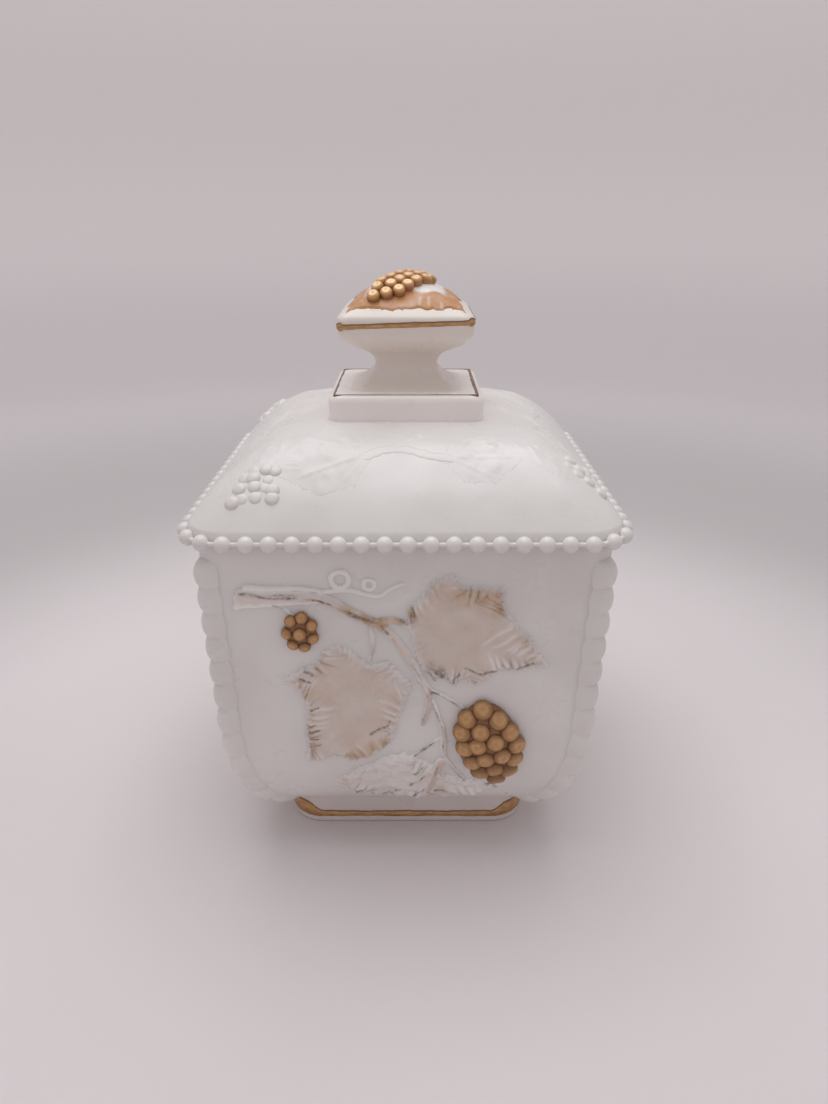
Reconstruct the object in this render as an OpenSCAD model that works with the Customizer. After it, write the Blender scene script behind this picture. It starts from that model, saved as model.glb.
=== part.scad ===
// Square covered vanity jar of pressed opal glass, with gilded vine relief.
// Two separate glass pieces: the jar and its lift-off lid. Each visible feature
// and each gilded area is a node of its own. The origin is the centre of the
// standing face, +Z is up and the front panel faces -Y.

/* [Jar] */
// Width of the jar across two opposite flat panels, where they start to curve in
jar_w = 90; // [86:0.5:91]
// Width of the jar at the mouth's rim, as the panels flare a little
rim_w = 93.2; // [92:0.2:94]
// Height of the mouth's rim above the floor
jar_h = 88; // [84:0.5:92]
// Thickness of the pressed glass
wall = 4; // [3.5:0.25:4.5]
// Radius of the upright corners
corner_r = 6.5; // [6:0.25:7]
// Height where the straight sides start to curve in to the foot
curve_h = 46; // [44:0.5:48]

/* [Foot] */
// Width of the square foot
foot_w = 63.2; // [62:0.2:65]
// Height of the foot
foot_h = 9; // [8:0.5:10]
// Corner radius of the foot
foot_corner_r = 8.5; // [7:0.5:10]
// Depth of the hollow under the foot
foot_recess = 2.5; // [1.5:0.5:3.5]
// Height of the gold band's lower edge
foot_band_z = 1.7; // [1:0.1:2.5]
// Height of the gold band
foot_band_h = 2.3; // [1.5:0.1:3]

/* [Beads] */
// Radius of the beads down the jar's corners
corner_bead_r = 2.8; // [2.4:0.1:2.9]
// Radius of the beads round the lid
rim_bead_r = 1.85; // [1.6:0.05:2]
// Number of beads on one side of the lid, counted corner to corner
rim_beads_per_side = 19; // [17:1:20]

/* [Lid] */
// Width of the lid between the centres of opposite rim beads
lid_w = 98.4; // [97:0.2:100]
// Plan radius of the lid's corners at the rim
lid_corner_r = 10; // [8:0.5:12]
// Height of the dome above the mouth's rim
dome_h = 20; // [18:0.5:22]
// Depth of the locating ring that drops into the mouth
seat_depth = 3.5; // [2:0.5:5]
// Gap between the locating ring and the mouth
seat_gap = 0.8; // [0.5:0.1:1.2]

/* [Finial] */
// Width of the square plinth on top of the dome
plinth_w = 37.2; // [35:0.2:39]
// Height of the plinth
plinth_h = 6.1; // [5:0.1:6.5]
// Width of the knob at its gold band
knob_w = 32.4; // [30:0.2:33]
// Width of the neck at its narrowest
neck_w = 15.2; // [13:0.2:17]

/* [Relief] */
// How far the leaves stand out from the panels
leaf_relief = 1; // [0.6:0.1:1.4]
// How far the vine stands out from the panels
vine_relief = 1.3; // [0.8:0.1:1.6]
// Radius of one drupelet of the large berry
drupelet_r = 1.9; // [1.7:0.05:2]
// Thickness of a gold film over the glass
film = 0.12; // [0.1:0.02:0.2]

/* [Hidden] */
$fn = 48;

arc_steps = 7;          // facets round one corner of a lofted shell
curve_steps = 12;       // rings along one curved stretch of a lofted shell
sunk = 0.5;             // how deep relief and films are bedded in the glass
opal = "#ece6e2";
gold = "#b08050";
tan_wash = "#cbb196";
vine_brown = "#a59a90";

jar_half = jar_w / 2;
rim_half = rim_w / 2;
inner_half = rim_half - wall;
inner_corner_r = corner_r - 1;
foot_half = foot_w / 2;
curve_x = 25.5;                         // half width at the centre of the curve's ellipse
curve_a = jar_half - curve_x;           // half axis across
curve_b = 37.9;                         // half axis down
curve_e = 1 / 1.2;                      // a superellipse, fuller than an ellipse at its shoulder
curve_end = asin(pow((curve_h - foot_h) / curve_b, 1 / curve_e));
seat_half = inner_half - seat_gap;
seat_thick = 2.2;
lid_half = lid_w / 2;
flange_half = lid_half - 0.6;
flange_h = 2.8;
dome_z = jar_h + dome_h;
plinth_half = plinth_w / 2;
plinth_z = dome_z + plinth_h;
knob_half = knob_w / 2;
neck_half = neck_w / 2;

// ---- shared geometry ----

function bezier(p, n) = [for (i = [0:n]) let (t = i / n, u = 1 - t)
    u * u * u * p[0] + 3 * u * u * t * p[1] + 3 * u * t * t * p[2] + t * t * t * p[3]];

function reverse(list) = [for (i = [len(list) - 1:-1:0]) list[i]];

// One level of a shell: a rounded square from [half width, height, corner radius].
function ring(level) = [for (q = [0:3], i = [0:arc_steps])
    let (a = 90 * q + 90 * i / arc_steps, c = level[0] - level[2])
    [c * sign(cos(90 * q + 45)) + level[2] * cos(a),
     c * sign(sin(90 * q + 45)) + level[2] * sin(a),
     level[1]]];

// A closed shell through a list of levels, capped at its first and last one.
module loft(levels) {
    n = 4 * (arc_steps + 1);
    last = len(levels) - 1;
    sides = [for (k = [0:last - 1], i = [0:n - 1])
        [k * n + i, (k + 1) * n + i, (k + 1) * n + (i + 1) % n, k * n + (i + 1) % n]];
    caps = [[for (i = [0:n - 1]) i], [for (i = [n - 1:-1:0]) last * n + i]];
    polyhedron([for (level = levels) each ring(level)], concat(sides, caps));
}

module rounded_square(half, r) {
    square([2 * half, 2 * (half - r)], center = true);
    square([2 * (half - r), 2 * half], center = true);
    for (x = [-1, 1], y = [-1, 1]) translate([x * (half - r), y * (half - r)]) circle(r);
}

module square_ring(outer, outer_r, inner, inner_r) {
    difference() {
        rounded_square(outer, outer_r);
        rounded_square(inner, inner_r);
    }
}

module on_four_sides() {
    for (a = [0:90:270]) rotate(a) children();
}

// A tapering stroke along a list of points, from width w0 to width w1.
module stroke(points, w0, w1) {
    last = len(points) - 1;
    function along(i) = points[min(i + 1, last)] - points[max(i - 1, 0)];
    function edge(i, side) = let (d = along(i), w = (w0 + (w1 - w0) * i / last) / 2)
        points[i] + side * w * [-d.y, d.x] / norm(d);
    polygon(concat([for (i = [0:last]) edge(i, 1)], [for (i = [last:-1:0]) edge(i, -1)]));
}

// ---- the jar's side ----

// A point on the curved lower side, at angle phi, lifted d off the surface.
function curve_point(phi, d) = let (
    n = [pow(cos(phi), 2 - curve_e) / curve_a, -pow(sin(phi), 2 - curve_e) / curve_b])
    [curve_x + curve_a * pow(cos(phi), curve_e), curve_h - curve_b * pow(sin(phi), curve_e)]
        + d * n / norm(n);

// Half width of a panel's surface at height z.
function panel_half(z) = z >= curve_h ? jar_half + (rim_half - jar_half) * (z - curve_h) / (jar_h - curve_h)
    : curve_x + curve_a * pow(1 - pow((curve_h - z) / curve_b, 2 / curve_e), curve_e / 2);

function side_line(d) = concat([[panel_half(jar_h - 3) + d, jar_h - 3]],
    [for (i = [0:curve_steps]) curve_point(curve_end * i / curve_steps, d)]);

// A layer over the front panel, from `sunk` below its surface to `proud` above it.
module panel_layer(proud) {
    outline = concat(side_line(proud), reverse(side_line(-sunk)));
    rotate([90, 0, 90]) linear_extrude(jar_w - 2 * corner_r, center = true)
        polygon([for (p = outline) [-p.x, p.y]]);
}

// Flat outlines in [x, height] of the front panel, raised as relief on all four panels.
module panel_relief(proud) {
    on_four_sides() intersection() {
        rotate([90, 0, 0]) linear_extrude(jar_w) children();
        panel_layer(proud);
    }
}

// A ball standing `lift` above the panel's surface at [x, height].
module panel_ball(x, z, r, lift) {
    translate([x, -panel_half(z) - lift, z]) sphere(r);
}

// ---- the jar ----

// Outer corner radius grows towards the foot, as the corner softens.
function outer_corner(z) = corner_r + (foot_corner_r - 1 - corner_r) * pow((curve_h - z) / curve_h, 2);

function outer_levels() = concat(
    [for (i = [curve_steps:-1:0]) let (p = curve_point(curve_end * i / curve_steps, 0))
        [p.x, p.y, outer_corner(p.y)]],
    [[rim_half, jar_h, corner_r]]);

// The inside follows the outside at one wall thickness, down to a flat floor.
function inner_levels() = concat(
    [[inner_half, jar_h, inner_corner_r]],
    [for (i = [0:curve_steps]) let (phi = 88 * i / curve_steps)
        [curve_x + (curve_a - wall) * pow(cos(phi), curve_e),
         curve_h - (curve_b - wall) * pow(sin(phi), curve_e), inner_corner_r + 1]]);

module jar_bowl() {
    color(opal) loft(concat(outer_levels(), inner_levels()));
}

module jar_foot() {
    color(opal) difference() {
        linear_extrude(foot_h) rounded_square(foot_half, foot_corner_r);
        translate([0, 0, -1]) linear_extrude(foot_recess + 1)
            rounded_square(foot_half - wall, foot_corner_r - wall / 2);
    }
}

module foot_gold_band() {
    color(gold) translate([0, 0, foot_band_z]) linear_extrude(foot_band_h)
        square_ring(foot_half + film, foot_corner_r + film, foot_half - sunk, foot_corner_r - sunk);
}

// Heights of the beads down each corner, which crowd together over the curve to the foot.
bead_heights = [80, 73.7, 67.4, 61, 54.6, 48, 41, 34, 27, 20.4, 14.8, 10.8];

module corner_beads() {
    inset = 1.8;
    color(opal) on_four_sides() for (z = bead_heights)
        translate([panel_half(z) - inset, inset - panel_half(z), z]) sphere(corner_bead_r);
}

// ---- relief on the jar ----

module vine_branches() {
    color(vine_brown) panel_relief(vine_relief) {
        stroke([[-37, 74.7], [-30, 74.6], [-23.4, 75], [-18, 74.2]], 5.4, 3);
        stroke([[-18.4, 74.4], [-11.9, 70.6], [-6.5, 68], [-2.5, 64], [1.6, 57.4]], 2.8, 2);
        stroke([[1.4, 57.8], [5.4, 50], [8.6, 39.8], [9.5, 31], [14.6, 22]], 2, 1.4);
        stroke([[-6.5, 68], [-3, 69], [0.4, 67.6]], 2, 1.6);
        stroke([[5.4, 50.6], [9, 48.4], [13, 45.4]], 1.4, 1.2);
        stroke([[-28.5, 72.6], [-26.6, 71.2], [-25, 69.8]], 1, 1);
        stroke([[-8, 67.2], [-7.4, 62.8], [-8.2, 59]], 1.2, 0.9);
    }
}

module vine_tendrils() {
    ring_tube = 0.8;
    color(opal) panel_relief(0.8) {
        for (c = [[-14.5, 79.2, 2.4], [-8.1, 78, 1.6]]) translate([c.x, c.y]) difference() {
            circle(c.z);
            circle(c.z - ring_tube);
        }
        stroke([[-17, 76.1], [-13, 76.6], [-9, 75.5], [-6, 75.1], [-3.4, 76.8], [-0.6, 78.2]], 0.9, 0.8);
    }
}

// Lobed vine leaves: outlines in [x, height], from the stalk round to the stalk again.
module upper_leaves() {
    color(tan_wash) panel_relief(leaf_relief) polygon([
        [-0.2, 67.4], [1, 73.2], [5.6, 78.4], [10.4, 80.4], [12.6, 77.2], [22, 77.6], [23.4, 71],
        [28.6, 64.2], [33.2, 57.2], [26.2, 56.2], [21.6, 54.6], [16.4, 51.4], [9.6, 53],
        [4, 55.6], [1.6, 60.8]]);
}

module side_leaves() {
    color(tan_wash) panel_relief(leaf_relief) polygon([
        [-10, 58.4], [-15.5, 62.4], [-18.5, 60.8], [-21, 57.8], [-28.8, 53], [-24.8, 49.4],
        [-24, 38], [-24.2, 29.4], [-18.8, 30.6], [-13.7, 29], [-9.6, 31.6], [-4, 35],
        [-1.8, 42], [1.4, 52], [-3.2, 57.6]]);
}

module lower_leaves() {
    color(tan_wash) panel_relief(leaf_relief) polygon([
        [-0.4, 32], [-6, 30], [-11.6, 27], [-17.8, 21.8], [-13, 16.6], [-7, 14.4], [1, 13.6],
        [9, 14], [17.4, 15.6], [24, 19.6], [16.6, 22], [10.8, 23.8], [5, 29]]);
}

module small_berries() {
    at = [-23.9, 66.6];
    ring = [3, 3.8];
    count = 7;
    color(gold) on_four_sides() {
        intersection() {
            translate([at.x, 0, at.y]) rotate([90, 0, 0]) cylinder(h = jar_w, r = 4.2);
            panel_layer(0.8);
        }
        panel_ball(at.x, at.y, 1.8, 1.1);
        for (i = [0:count - 1]) let (a = 360 * i / count + 10)
            panel_ball(at.x + ring.x * sin(a), at.y + ring.y * cos(a), 1.4, 0.6);
    }
}

// Drupelets pressed into an egg-shaped mound, which is wide at the top and leans to the right.
drupelets = [
    [18, 46], [14.2, 43.4], [21.9, 43.4], [17.6, 40.4], [13, 39.6], [25, 40], [21.4, 37.6], [17, 36.4],
    [26.9, 36], [13.8, 35.2], [23.3, 33.4], [19, 32.4], [15.8, 31], [26.6, 31.6], [21.6, 28.8],
    [18, 27.4], [25.4, 27.6], [22.4, 24.8]];

module large_berries() {
    middle = [19.9, 35];
    half = [8, 13];
    color(gold) on_four_sides() {
        intersection() {
            rotate([90, 0, 0]) linear_extrude(rim_w) translate(middle) rotate(11)
                polygon([for (a = [0:15:345]) [half.x * cos(a), half.y * sin(a)]]);
            panel_layer(1.4);
        }
        for (p = drupelets) {
            d = [(p.x - middle.x) / half.x, (p.y - middle.y) / half.y];
            panel_ball(p.x, p.y, drupelet_r, 2.3 - 1.4 * d * d);
        }
    }
}

// ---- the lid ----

// The dome's outer side: [half width, height] from the rim up to the flat top.
dome_line = [[flange_half - 0.1, jar_h + flange_h], [flange_half - 5.1, jar_h + 0.5 * dome_h],
    [33, dome_z + 0.2], [plinth_half, dome_z]];

function dome_levels() = let (line = bezier(dome_line, curve_steps))
    [for (i = [0:curve_steps]) [line[i].x, line[i].y, lid_corner_r - 4 * i / curve_steps]];

// The dome's underside, from its ceiling down to the locating ring.
function ceiling_levels() = let (
    low = seat_half - seat_thick,
    high = dome_z - wall,
    line = bezier([[14, high], [29, high], [low - 1, high - 6], [low, jar_h + 2]], curve_steps))
    [for (p = line) [p.x, p.y, 5]];

module lid_dome() {
    color(opal) loft(concat(
        ceiling_levels(),
        [[seat_half - seat_thick, jar_h, 5], [flange_half, jar_h, lid_corner_r]],
        dome_levels()));
}

module lid_seat_ring() {
    color(opal) translate([0, 0, jar_h - seat_depth]) linear_extrude(seat_depth)
        square_ring(seat_half, 5.5, seat_half - seat_thick, 5);
}

// The point at distance s along one quarter of the rim, from the middle of a side.
function rim_point(s) = let (
    straight = lid_half - lid_corner_r,
    a = (s - straight) / lid_corner_r * 180 / PI)
    s <= straight ? [s, -lid_half]
    : a < 90 ? [straight + lid_corner_r * sin(a), -straight - lid_corner_r * cos(a)]
    : [lid_half, -(straight - (s - straight - lid_corner_r * PI / 2))];

module lid_rim_beads() {
    quarter = 2 * (lid_half - lid_corner_r) + lid_corner_r * PI / 2;
    color(opal) on_four_sides() for (i = [0:rim_beads_per_side - 1])
        translate(concat(rim_point(quarter * i / rim_beads_per_side), jar_h + 0.7)) sphere(rim_bead_r);
}

// The dome's curve lifted d off its surface.
function dome_offset(d) = let (line = bezier(dome_line, curve_steps))
    [for (i = [0:curve_steps]) let (
        step = line[min(i + 1, curve_steps)] - line[max(i - 1, 0)],
        n = [step.y, -step.x] / norm(step))
        line[i] + d * n];

// Flat outlines in plan, raised as relief on the dome's four panels.
module dome_relief(proud) {
    outline = concat(dome_offset(proud), reverse(dome_offset(-sunk)));
    on_four_sides() intersection() {
        linear_extrude(plinth_z) children();
        rotate([90, 0, 90]) linear_extrude(2 * (lid_half - lid_corner_r), center = true)
            polygon([for (p = outline) [-p.x, p.y]]);
    }
}

module lid_leaves() {
    color(opal) dome_relief(0.8) {
        polygon([[-8, -36], [-12, -41], [-20, -42.6], [-25, -40], [-30, -37.4], [-26, -33], [-24, -26.4],
            [-17, -27], [-11, -24.4], [-10, -30]]);
        polygon([[8.6, -36], [13, -40.4], [20, -40], [24.6, -34.6], [21.6, -29], [15, -26.4], [11, -29.6]]);
        stroke([[-8.4, -35.6], [-2, -32.6], [4, -33.6], [9, -35.6]], 1.4, 1.2);
    }
}

module lid_berries() {
    line = bezier(dome_line, curve_steps);
    pitch = 2.9;
    color(opal) on_four_sides() for (r = [0:3], i = [0:3 - floor(r / 2)]) {
        p = line[3 + r];
        translate([-36.4 + pitch * i + 1.1 * r, -p.x, p.y]) sphere(1.35);
    }
}

// ---- the finial ----

module finial_plinth() {
    color(opal) translate([0, 0, dome_z]) linear_extrude(plinth_h) rounded_square(plinth_half, 1.6);
}

module plinth_gold_line() {
    inset = 1.3;
    color("#7d6353") translate([0, 0, plinth_z - sunk]) linear_extrude(sunk + film)
        square_ring(plinth_half - inset, 0.6, plinth_half - inset - 0.55, 0.5);
}

// The neck flares out of the plinth, narrows, then swells under the knob's rim.
function neck_levels() = [for (p = concat(
        bezier([[neck_half + 8, 0], [neck_half + 2.4, 0.5], [neck_half, 3], [neck_half, 6]], curve_steps),
        bezier([[neck_half + 0.5, 7.2], [neck_half + 2, 10], [knob_half - 0.6, 9.6],
            [knob_half, 14.6]], curve_steps)))
    [p.x, plinth_z + p.y, 1.6 + 0.13 * p.x]];

knob_rim_z = plinth_z + 17.4;

// The knob's low pyramid top, from its rim to the crown.
function crown_levels(d) = [for (p = bezier([[knob_half - 1.6, 1.3], [10.6, 4.2], [6.2, 7.2], [1, 7.6]], 8))
    [p.x, knob_rim_z + p.y + d, min(p.x * 0.8, 3)]];

module finial_knob() {
    color(opal) loft(concat(neck_levels(), [[knob_half, knob_rim_z, 3]], crown_levels(0)));
}

module knob_gold_band() {
    color(gold) translate([0, 0, knob_rim_z - 2.7]) linear_extrude(2.5)
        square_ring(knob_half + film, 3 + film, knob_half - sunk, 3 - sunk);
}

module knob_leaf() {
    color(tan_wash) difference() {
        intersection() {
            loft(concat([[knob_half - 1.6, knob_rim_z, 3]], crown_levels(0.35)));
            linear_extrude(plinth_z + 40) polygon([
                [-13.6, -9], [-13.6, -13.8], [-3, -14.2], [5, -13.9], [13.6, -13.8], [12.4, -4], [13.8, 4],
                [10.4, 13.4], [1, 12.4], [-7, 13.6], [-13.4, 8], [-12.4, 0]]);
        }
        loft(concat([[knob_half - 1, knob_rim_z - 1, 3]], crown_levels(-0.4)));
    }
}

// A berry lying aslant over the crown, from low on its front left corner up to its top.
module knob_berry() {
    rows = [1, 2, 3, 3, 3, 3, 2];
    pitch = 2.75;
    first = [-13, -2.9];
    slant = 43;
    crown = [for (level = crown_levels(0)) [level.x, level.y]];
    color(gold) for (row = [0:len(rows) - 1], i = [0:rows[row] - 1]) {
        along = first.x + pitch * row;
        across = first.y + (i - (rows[row] - 1) / 2) * pitch;
        x = cos(slant) * along - sin(slant) * across;
        y = sin(slant) * along + cos(slant) * across;
        translate([x, y, lookup(max(abs(x), abs(y)), crown) + 0.9]) sphere(1.4);
    }
}

jar_bowl();
jar_foot();
foot_gold_band();
corner_beads();
vine_branches();
vine_tendrils();
upper_leaves();
side_leaves();
lower_leaves();
small_berries();
large_berries();
lid_dome();
lid_seat_ring();
lid_rim_beads();
lid_leaves();
lid_berries();
finial_plinth();
plinth_gold_line();
finial_knob();
knob_gold_band();
knob_leaf();
knob_berry();
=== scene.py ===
import math

import bmesh
import bpy
import numpy as np
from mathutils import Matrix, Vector


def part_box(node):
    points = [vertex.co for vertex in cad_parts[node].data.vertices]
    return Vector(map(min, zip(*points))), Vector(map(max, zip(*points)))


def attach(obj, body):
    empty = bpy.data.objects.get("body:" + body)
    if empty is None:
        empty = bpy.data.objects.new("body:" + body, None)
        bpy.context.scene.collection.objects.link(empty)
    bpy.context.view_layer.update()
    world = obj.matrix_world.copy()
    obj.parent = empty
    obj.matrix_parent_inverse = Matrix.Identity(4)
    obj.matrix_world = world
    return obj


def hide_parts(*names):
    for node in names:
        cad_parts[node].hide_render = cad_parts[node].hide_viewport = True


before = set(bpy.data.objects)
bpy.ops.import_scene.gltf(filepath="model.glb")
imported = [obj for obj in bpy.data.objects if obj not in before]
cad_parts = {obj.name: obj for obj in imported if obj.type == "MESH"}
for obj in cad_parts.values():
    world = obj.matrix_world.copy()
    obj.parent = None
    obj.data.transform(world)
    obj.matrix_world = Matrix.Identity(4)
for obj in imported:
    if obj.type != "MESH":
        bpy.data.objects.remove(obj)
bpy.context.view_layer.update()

# Lengths are in millimetres until a mesh is made.
MM = 0.001


def high(node):
    """The highest corner of a CAD node, in millimetres."""
    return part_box(node)[1] / MM


def low(node):
    """The lowest corner of a CAD node, in millimetres."""
    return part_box(node)[0] / MM


# ---- sizes from the frame

JAR_HALF = high("jar_bowl").x
JAR_TOP = high("jar_bowl").z
FOOT_TOP = high("jar_foot").z
FOOT_HALF = high("jar_foot").x
FLANGE_HALF = high("lid_dome").x
DOME_TOP = high("lid_dome").z
SEAT_HALF = high("lid_seat_ring").x
SEAT_BOTTOM = low("lid_seat_ring").z
RIM_BEAD_Z = (high("lid_rim_beads").z + low("lid_rim_beads").z) / 2
RIM_BEAD_R = (high("lid_rim_beads").z - low("lid_rim_beads").z) / 2
LID_HALF = high("lid_rim_beads").x - RIM_BEAD_R - 0.01
PLINTH_HALF = high("finial_plinth").x
PLINTH_TOP = high("finial_plinth").z
KNOB_HALF = high("finial_knob").x
KNOB_RIM = high("knob_gold_band").z + 0.2

# Sizes that the frame's boxes don't give, as the CAD design has them.
WALL = 4.0
WAIST = 45.0               # half width of the jar where its sides start to curve in
JAR_CORNER = 6.5
LIP = 1.1                  # rounding of the jar's mouth
CURVE_TOP = 46.0           # height where the jar's sides start to curve in
CURVE_X = 25.5             # half width at the centre of the curve
CURVE_A = WAIST - CURVE_X
CURVE_B = 37.9
CURVE_POWER = 1 / 1.2      # the curve is a superellipse, fuller than an ellipse
CURVE_END = math.asin(((CURVE_TOP - FOOT_TOP) / CURVE_B) ** (1 / CURVE_POWER))
FOOT_CORNER = 8.5
FOOT_RECESS = 2.5
LID_CORNER = 10.0
LID_CORNER_TOP = 6.0       # the dome's plan radius beside the plinth
FLANGE_H = 2.8
CORNER_BEAD_R = 2.8
CORNER_BEAD_HEIGHTS = (80, 73.7, 67.4, 61, 54.6, 48, 41, 34, 27, 20.4, 14.8, 10.8)
RIM_BEADS = 76
RIM_START = 0.6            # x where the string of beads starts at the front
SEAT_INNER = SEAT_HALF - 2.2
NECK_HALF = 7.6
KNOB_CORNER = 3.0
SUNK = 0.45                # how deep relief is bedded in the glass
FILM = 0.12                # how far a gold film stands proud
SIDES = ("front", "right", "back", "left")

DOME_LINE = [(FLANGE_HALF - 0.1, JAR_TOP + FLANGE_H), (FLANGE_HALF - 5.1, JAR_TOP + (DOME_TOP - JAR_TOP) / 2),
             (33.0, DOME_TOP + 0.2), (PLINTH_HALF, DOME_TOP)]


# ---- curves and fields

def bezier(points, t):
    """Points on a cubic curve at the parameters t."""
    p = np.asarray(points, float)
    t = np.asarray(t, float)[..., None]
    u = 1 - t
    return u**3 * p[0] + 3 * u * u * t * p[1] + 3 * u * t * t * p[2] + t**3 * p[3]


def smooth_path(points, steps=8):
    """A smooth curve through the points, with `steps` stretches between neighbours."""
    p = np.asarray(points, float)
    p = np.vstack([2 * p[0] - p[1], p, 2 * p[-1] - p[-2]])
    out = []
    for a, b, c, d in zip(p[:-3], p[1:-2], p[2:-1], p[3:]):
        for t in np.arange(steps) / steps:
            out.append(0.5 * (2 * b + (c - a) * t + (2 * a - 5 * b + 4 * c - d) * t**2
                              + (3 * b - a - 3 * c + d) * t**3))
    return np.array(out + [p[-2]])


def step(x, lo, hi):
    """0 below lo, 1 above hi, smooth between; lo may be the larger."""
    t = np.clip((np.asarray(x, float) - lo) / (hi - lo), 0, 1)
    return t * t * (3 - 2 * t)


def ripple(x, y, size, seed):
    """Soft irregular waves in every direction, mostly between -1 and 1, about `size` millimetres long."""
    rng = np.random.default_rng(seed)
    total = 0
    for k in range(9):
        turn = (k + rng.uniform(0, 1)) * math.pi / 9
        wave = 2 * math.pi / (size * rng.uniform(0.7, 1.5))
        total = total + np.sin(wave * (x * math.cos(turn) + y * math.sin(turn)) + rng.uniform(0, 2 * math.pi))
    return total / 3


def line_distance(grid, path):
    """Distance from each grid point to a path of points, and how far along the path that is, 0 to 1."""
    a, b = path[:-1], path[1:]
    d = b - a
    length = np.maximum(np.hypot(d[:, 0], d[:, 1]), 1e-9)
    ends = np.concatenate([[0], np.cumsum(length)])
    best = np.full(len(grid), np.inf)
    along = np.zeros(len(grid))
    for i in range(len(a)):
        t = np.clip(((grid - a[i]) @ d[i]) / length[i] ** 2, 0, 1)
        away = np.hypot(*(grid - a[i] - t[:, None] * d[i]).T)
        near = away < best
        best[near] = away[near]
        along[near] = (ends[i] + t[near] * length[i]) / ends[-1]
    return best, along


def edge_distance(grid, outline):
    """Distance to a closed outline, positive inside it."""
    away, _ = line_distance(grid, np.vstack([outline, outline[:1]]))
    inside = np.zeros(len(grid), bool)
    x, y = grid.T
    for (ax, ay), (bx, by) in zip(outline, np.roll(outline, -1, axis=0)):
        if ay != by:
            inside ^= ((ay > y) != (by > y)) & (x < (bx - ax) * (y - ay) / (by - ay) + ax)
    return np.where(inside, away, -away)


# ---- meshes

def turned(points, quarter):
    """Points turned by quarter turns about the vertical axis."""
    x, y, z = np.asarray(points, float).T
    for _ in range(quarter):
        x, y = -y, x
    return np.stack([x, y, z], axis=1)


def joined(parts):
    """One list of points and one of faces from several (points, faces) pairs."""
    points, faces, start = [], [], 0
    for p, f in parts:
        points.append(p)
        faces += [[i + start for i in face] for face in f]
        start += len(p)
    return np.vstack(points), faces


def ring_faces(rings, around, closed=False):
    """Quads between neighbouring rings of `around` points; closed also joins the last ring to the first."""
    faces = []
    for k in range(rings if closed else rings - 1):
        a, b = k * around, (k + 1) % rings * around
        faces += [[a + i, a + (i + 1) % around, b + (i + 1) % around, b + i] for i in range(around)]
    return faces


def disc_faces(rings, around):
    """A fan round point 0, then quads between the rings of `around` points that follow it."""
    faces = [[0, 1 + i, 1 + (i + 1) % around] for i in range(around)]
    for k in range(rings - 1):
        a, b = 1 + k * around, 1 + (k + 1) * around
        faces += [[a + i, b + i, b + (i + 1) % around, a + (i + 1) % around] for i in range(around)]
    return faces


def at_height(plan, z):
    """Plan points lifted to height z."""
    return np.column_stack([plan, np.full(len(plan), z)])


def spoke(angle):
    """The unit vector at an angle in plan."""
    return np.array([math.cos(angle), math.sin(angle)])


def piece(name, points, faces, body, slot, node, material, paint=None):
    """A Blender object from points in millimetres, riding on a CAD body in place of a CAD node."""
    mesh = bpy.data.meshes.new(name)
    mesh.from_pydata((np.asarray(points) * MM).tolist(), [], faces)
    skin = bmesh.new()
    skin.from_mesh(mesh)
    bmesh.ops.recalc_face_normals(skin, faces=skin.faces)
    skin.to_mesh(mesh)
    skin.free()
    mesh.polygons.foreach_set("use_smooth", [True] * len(mesh.polygons))
    if paint is not None:
        colours = np.ones((len(points), 4), np.float32)
        colours[:, :paint.shape[1]] = paint
        mesh.attributes.new("paint", "FLOAT_COLOR", "POINT").data.foreach_set("color", colours.ravel())
    mesh.materials.append(material)
    obj = bpy.data.objects.new(name, mesh)
    bpy.context.scene.collection.objects.link(obj)
    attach(obj, body)
    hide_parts(node)


def square_ring(half, radius, per_corner=16, per_side=24):
    """Plan points of a rounded square, counter-clockwise from the end of its +X side."""
    out = []
    quarter = math.pi / 2
    for turn in np.arange(4) * quarter:
        centre = (half - radius) * spoke(turn + quarter / 2) * math.sqrt(2)
        for a in np.linspace(turn, turn + quarter, per_corner + 1):
            out.append(centre + radius * spoke(a))
        start = out[-1]
        end = (half - radius) * spoke(turn + 1.5 * quarter) * math.sqrt(2) + radius * spoke(turn + quarter)
        for t in np.arange(1, per_side) / per_side:
            out.append(start + (end - start) * t)
    return np.array(out)


def loft(levels, **density):
    """A closed skin through levels of (half width, height, corner radius), capped at both ends."""
    rings = [at_height(square_ring(h, min(r, h), **density), z) for h, z, r in levels]
    n = len(rings[0])
    faces = ring_faces(len(rings), n)
    faces.append(list(range(n))[::-1])
    faces.append([(len(rings) - 1) * n + i for i in range(n)])
    return np.vstack(rings), faces


def hoop(rings):
    """A closed hoop through rings of points, each ring joined to the next and the last to the first."""
    return np.vstack(rings), ring_faces(len(rings), len(rings[0]), closed=True)


def rounded(line, steps=5):
    """A profile of (half width, height, corner radius, edge rounding) with its sharp edges rounded."""
    out = []
    last = len(line) - 1
    for i, (h, z, r, soft) in enumerate(line):
        here = np.array([h, z])
        if soft == 0 or i in (0, last):
            out.append((h, z, r))
            continue
        before, after = (np.array(line[j][:2]) - here for j in (i - 1, i + 1))
        a = here + before * min(soft / np.hypot(*before), 0.5)
        b = here + after * min(soft / np.hypot(*after), 0.5)
        for t in np.linspace(0, 1, steps + 1):
            p = (1 - t)**2 * a + 2 * t * (1 - t) * here + t * t * b
            out.append((p[0], p[1], r))
    return out


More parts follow.
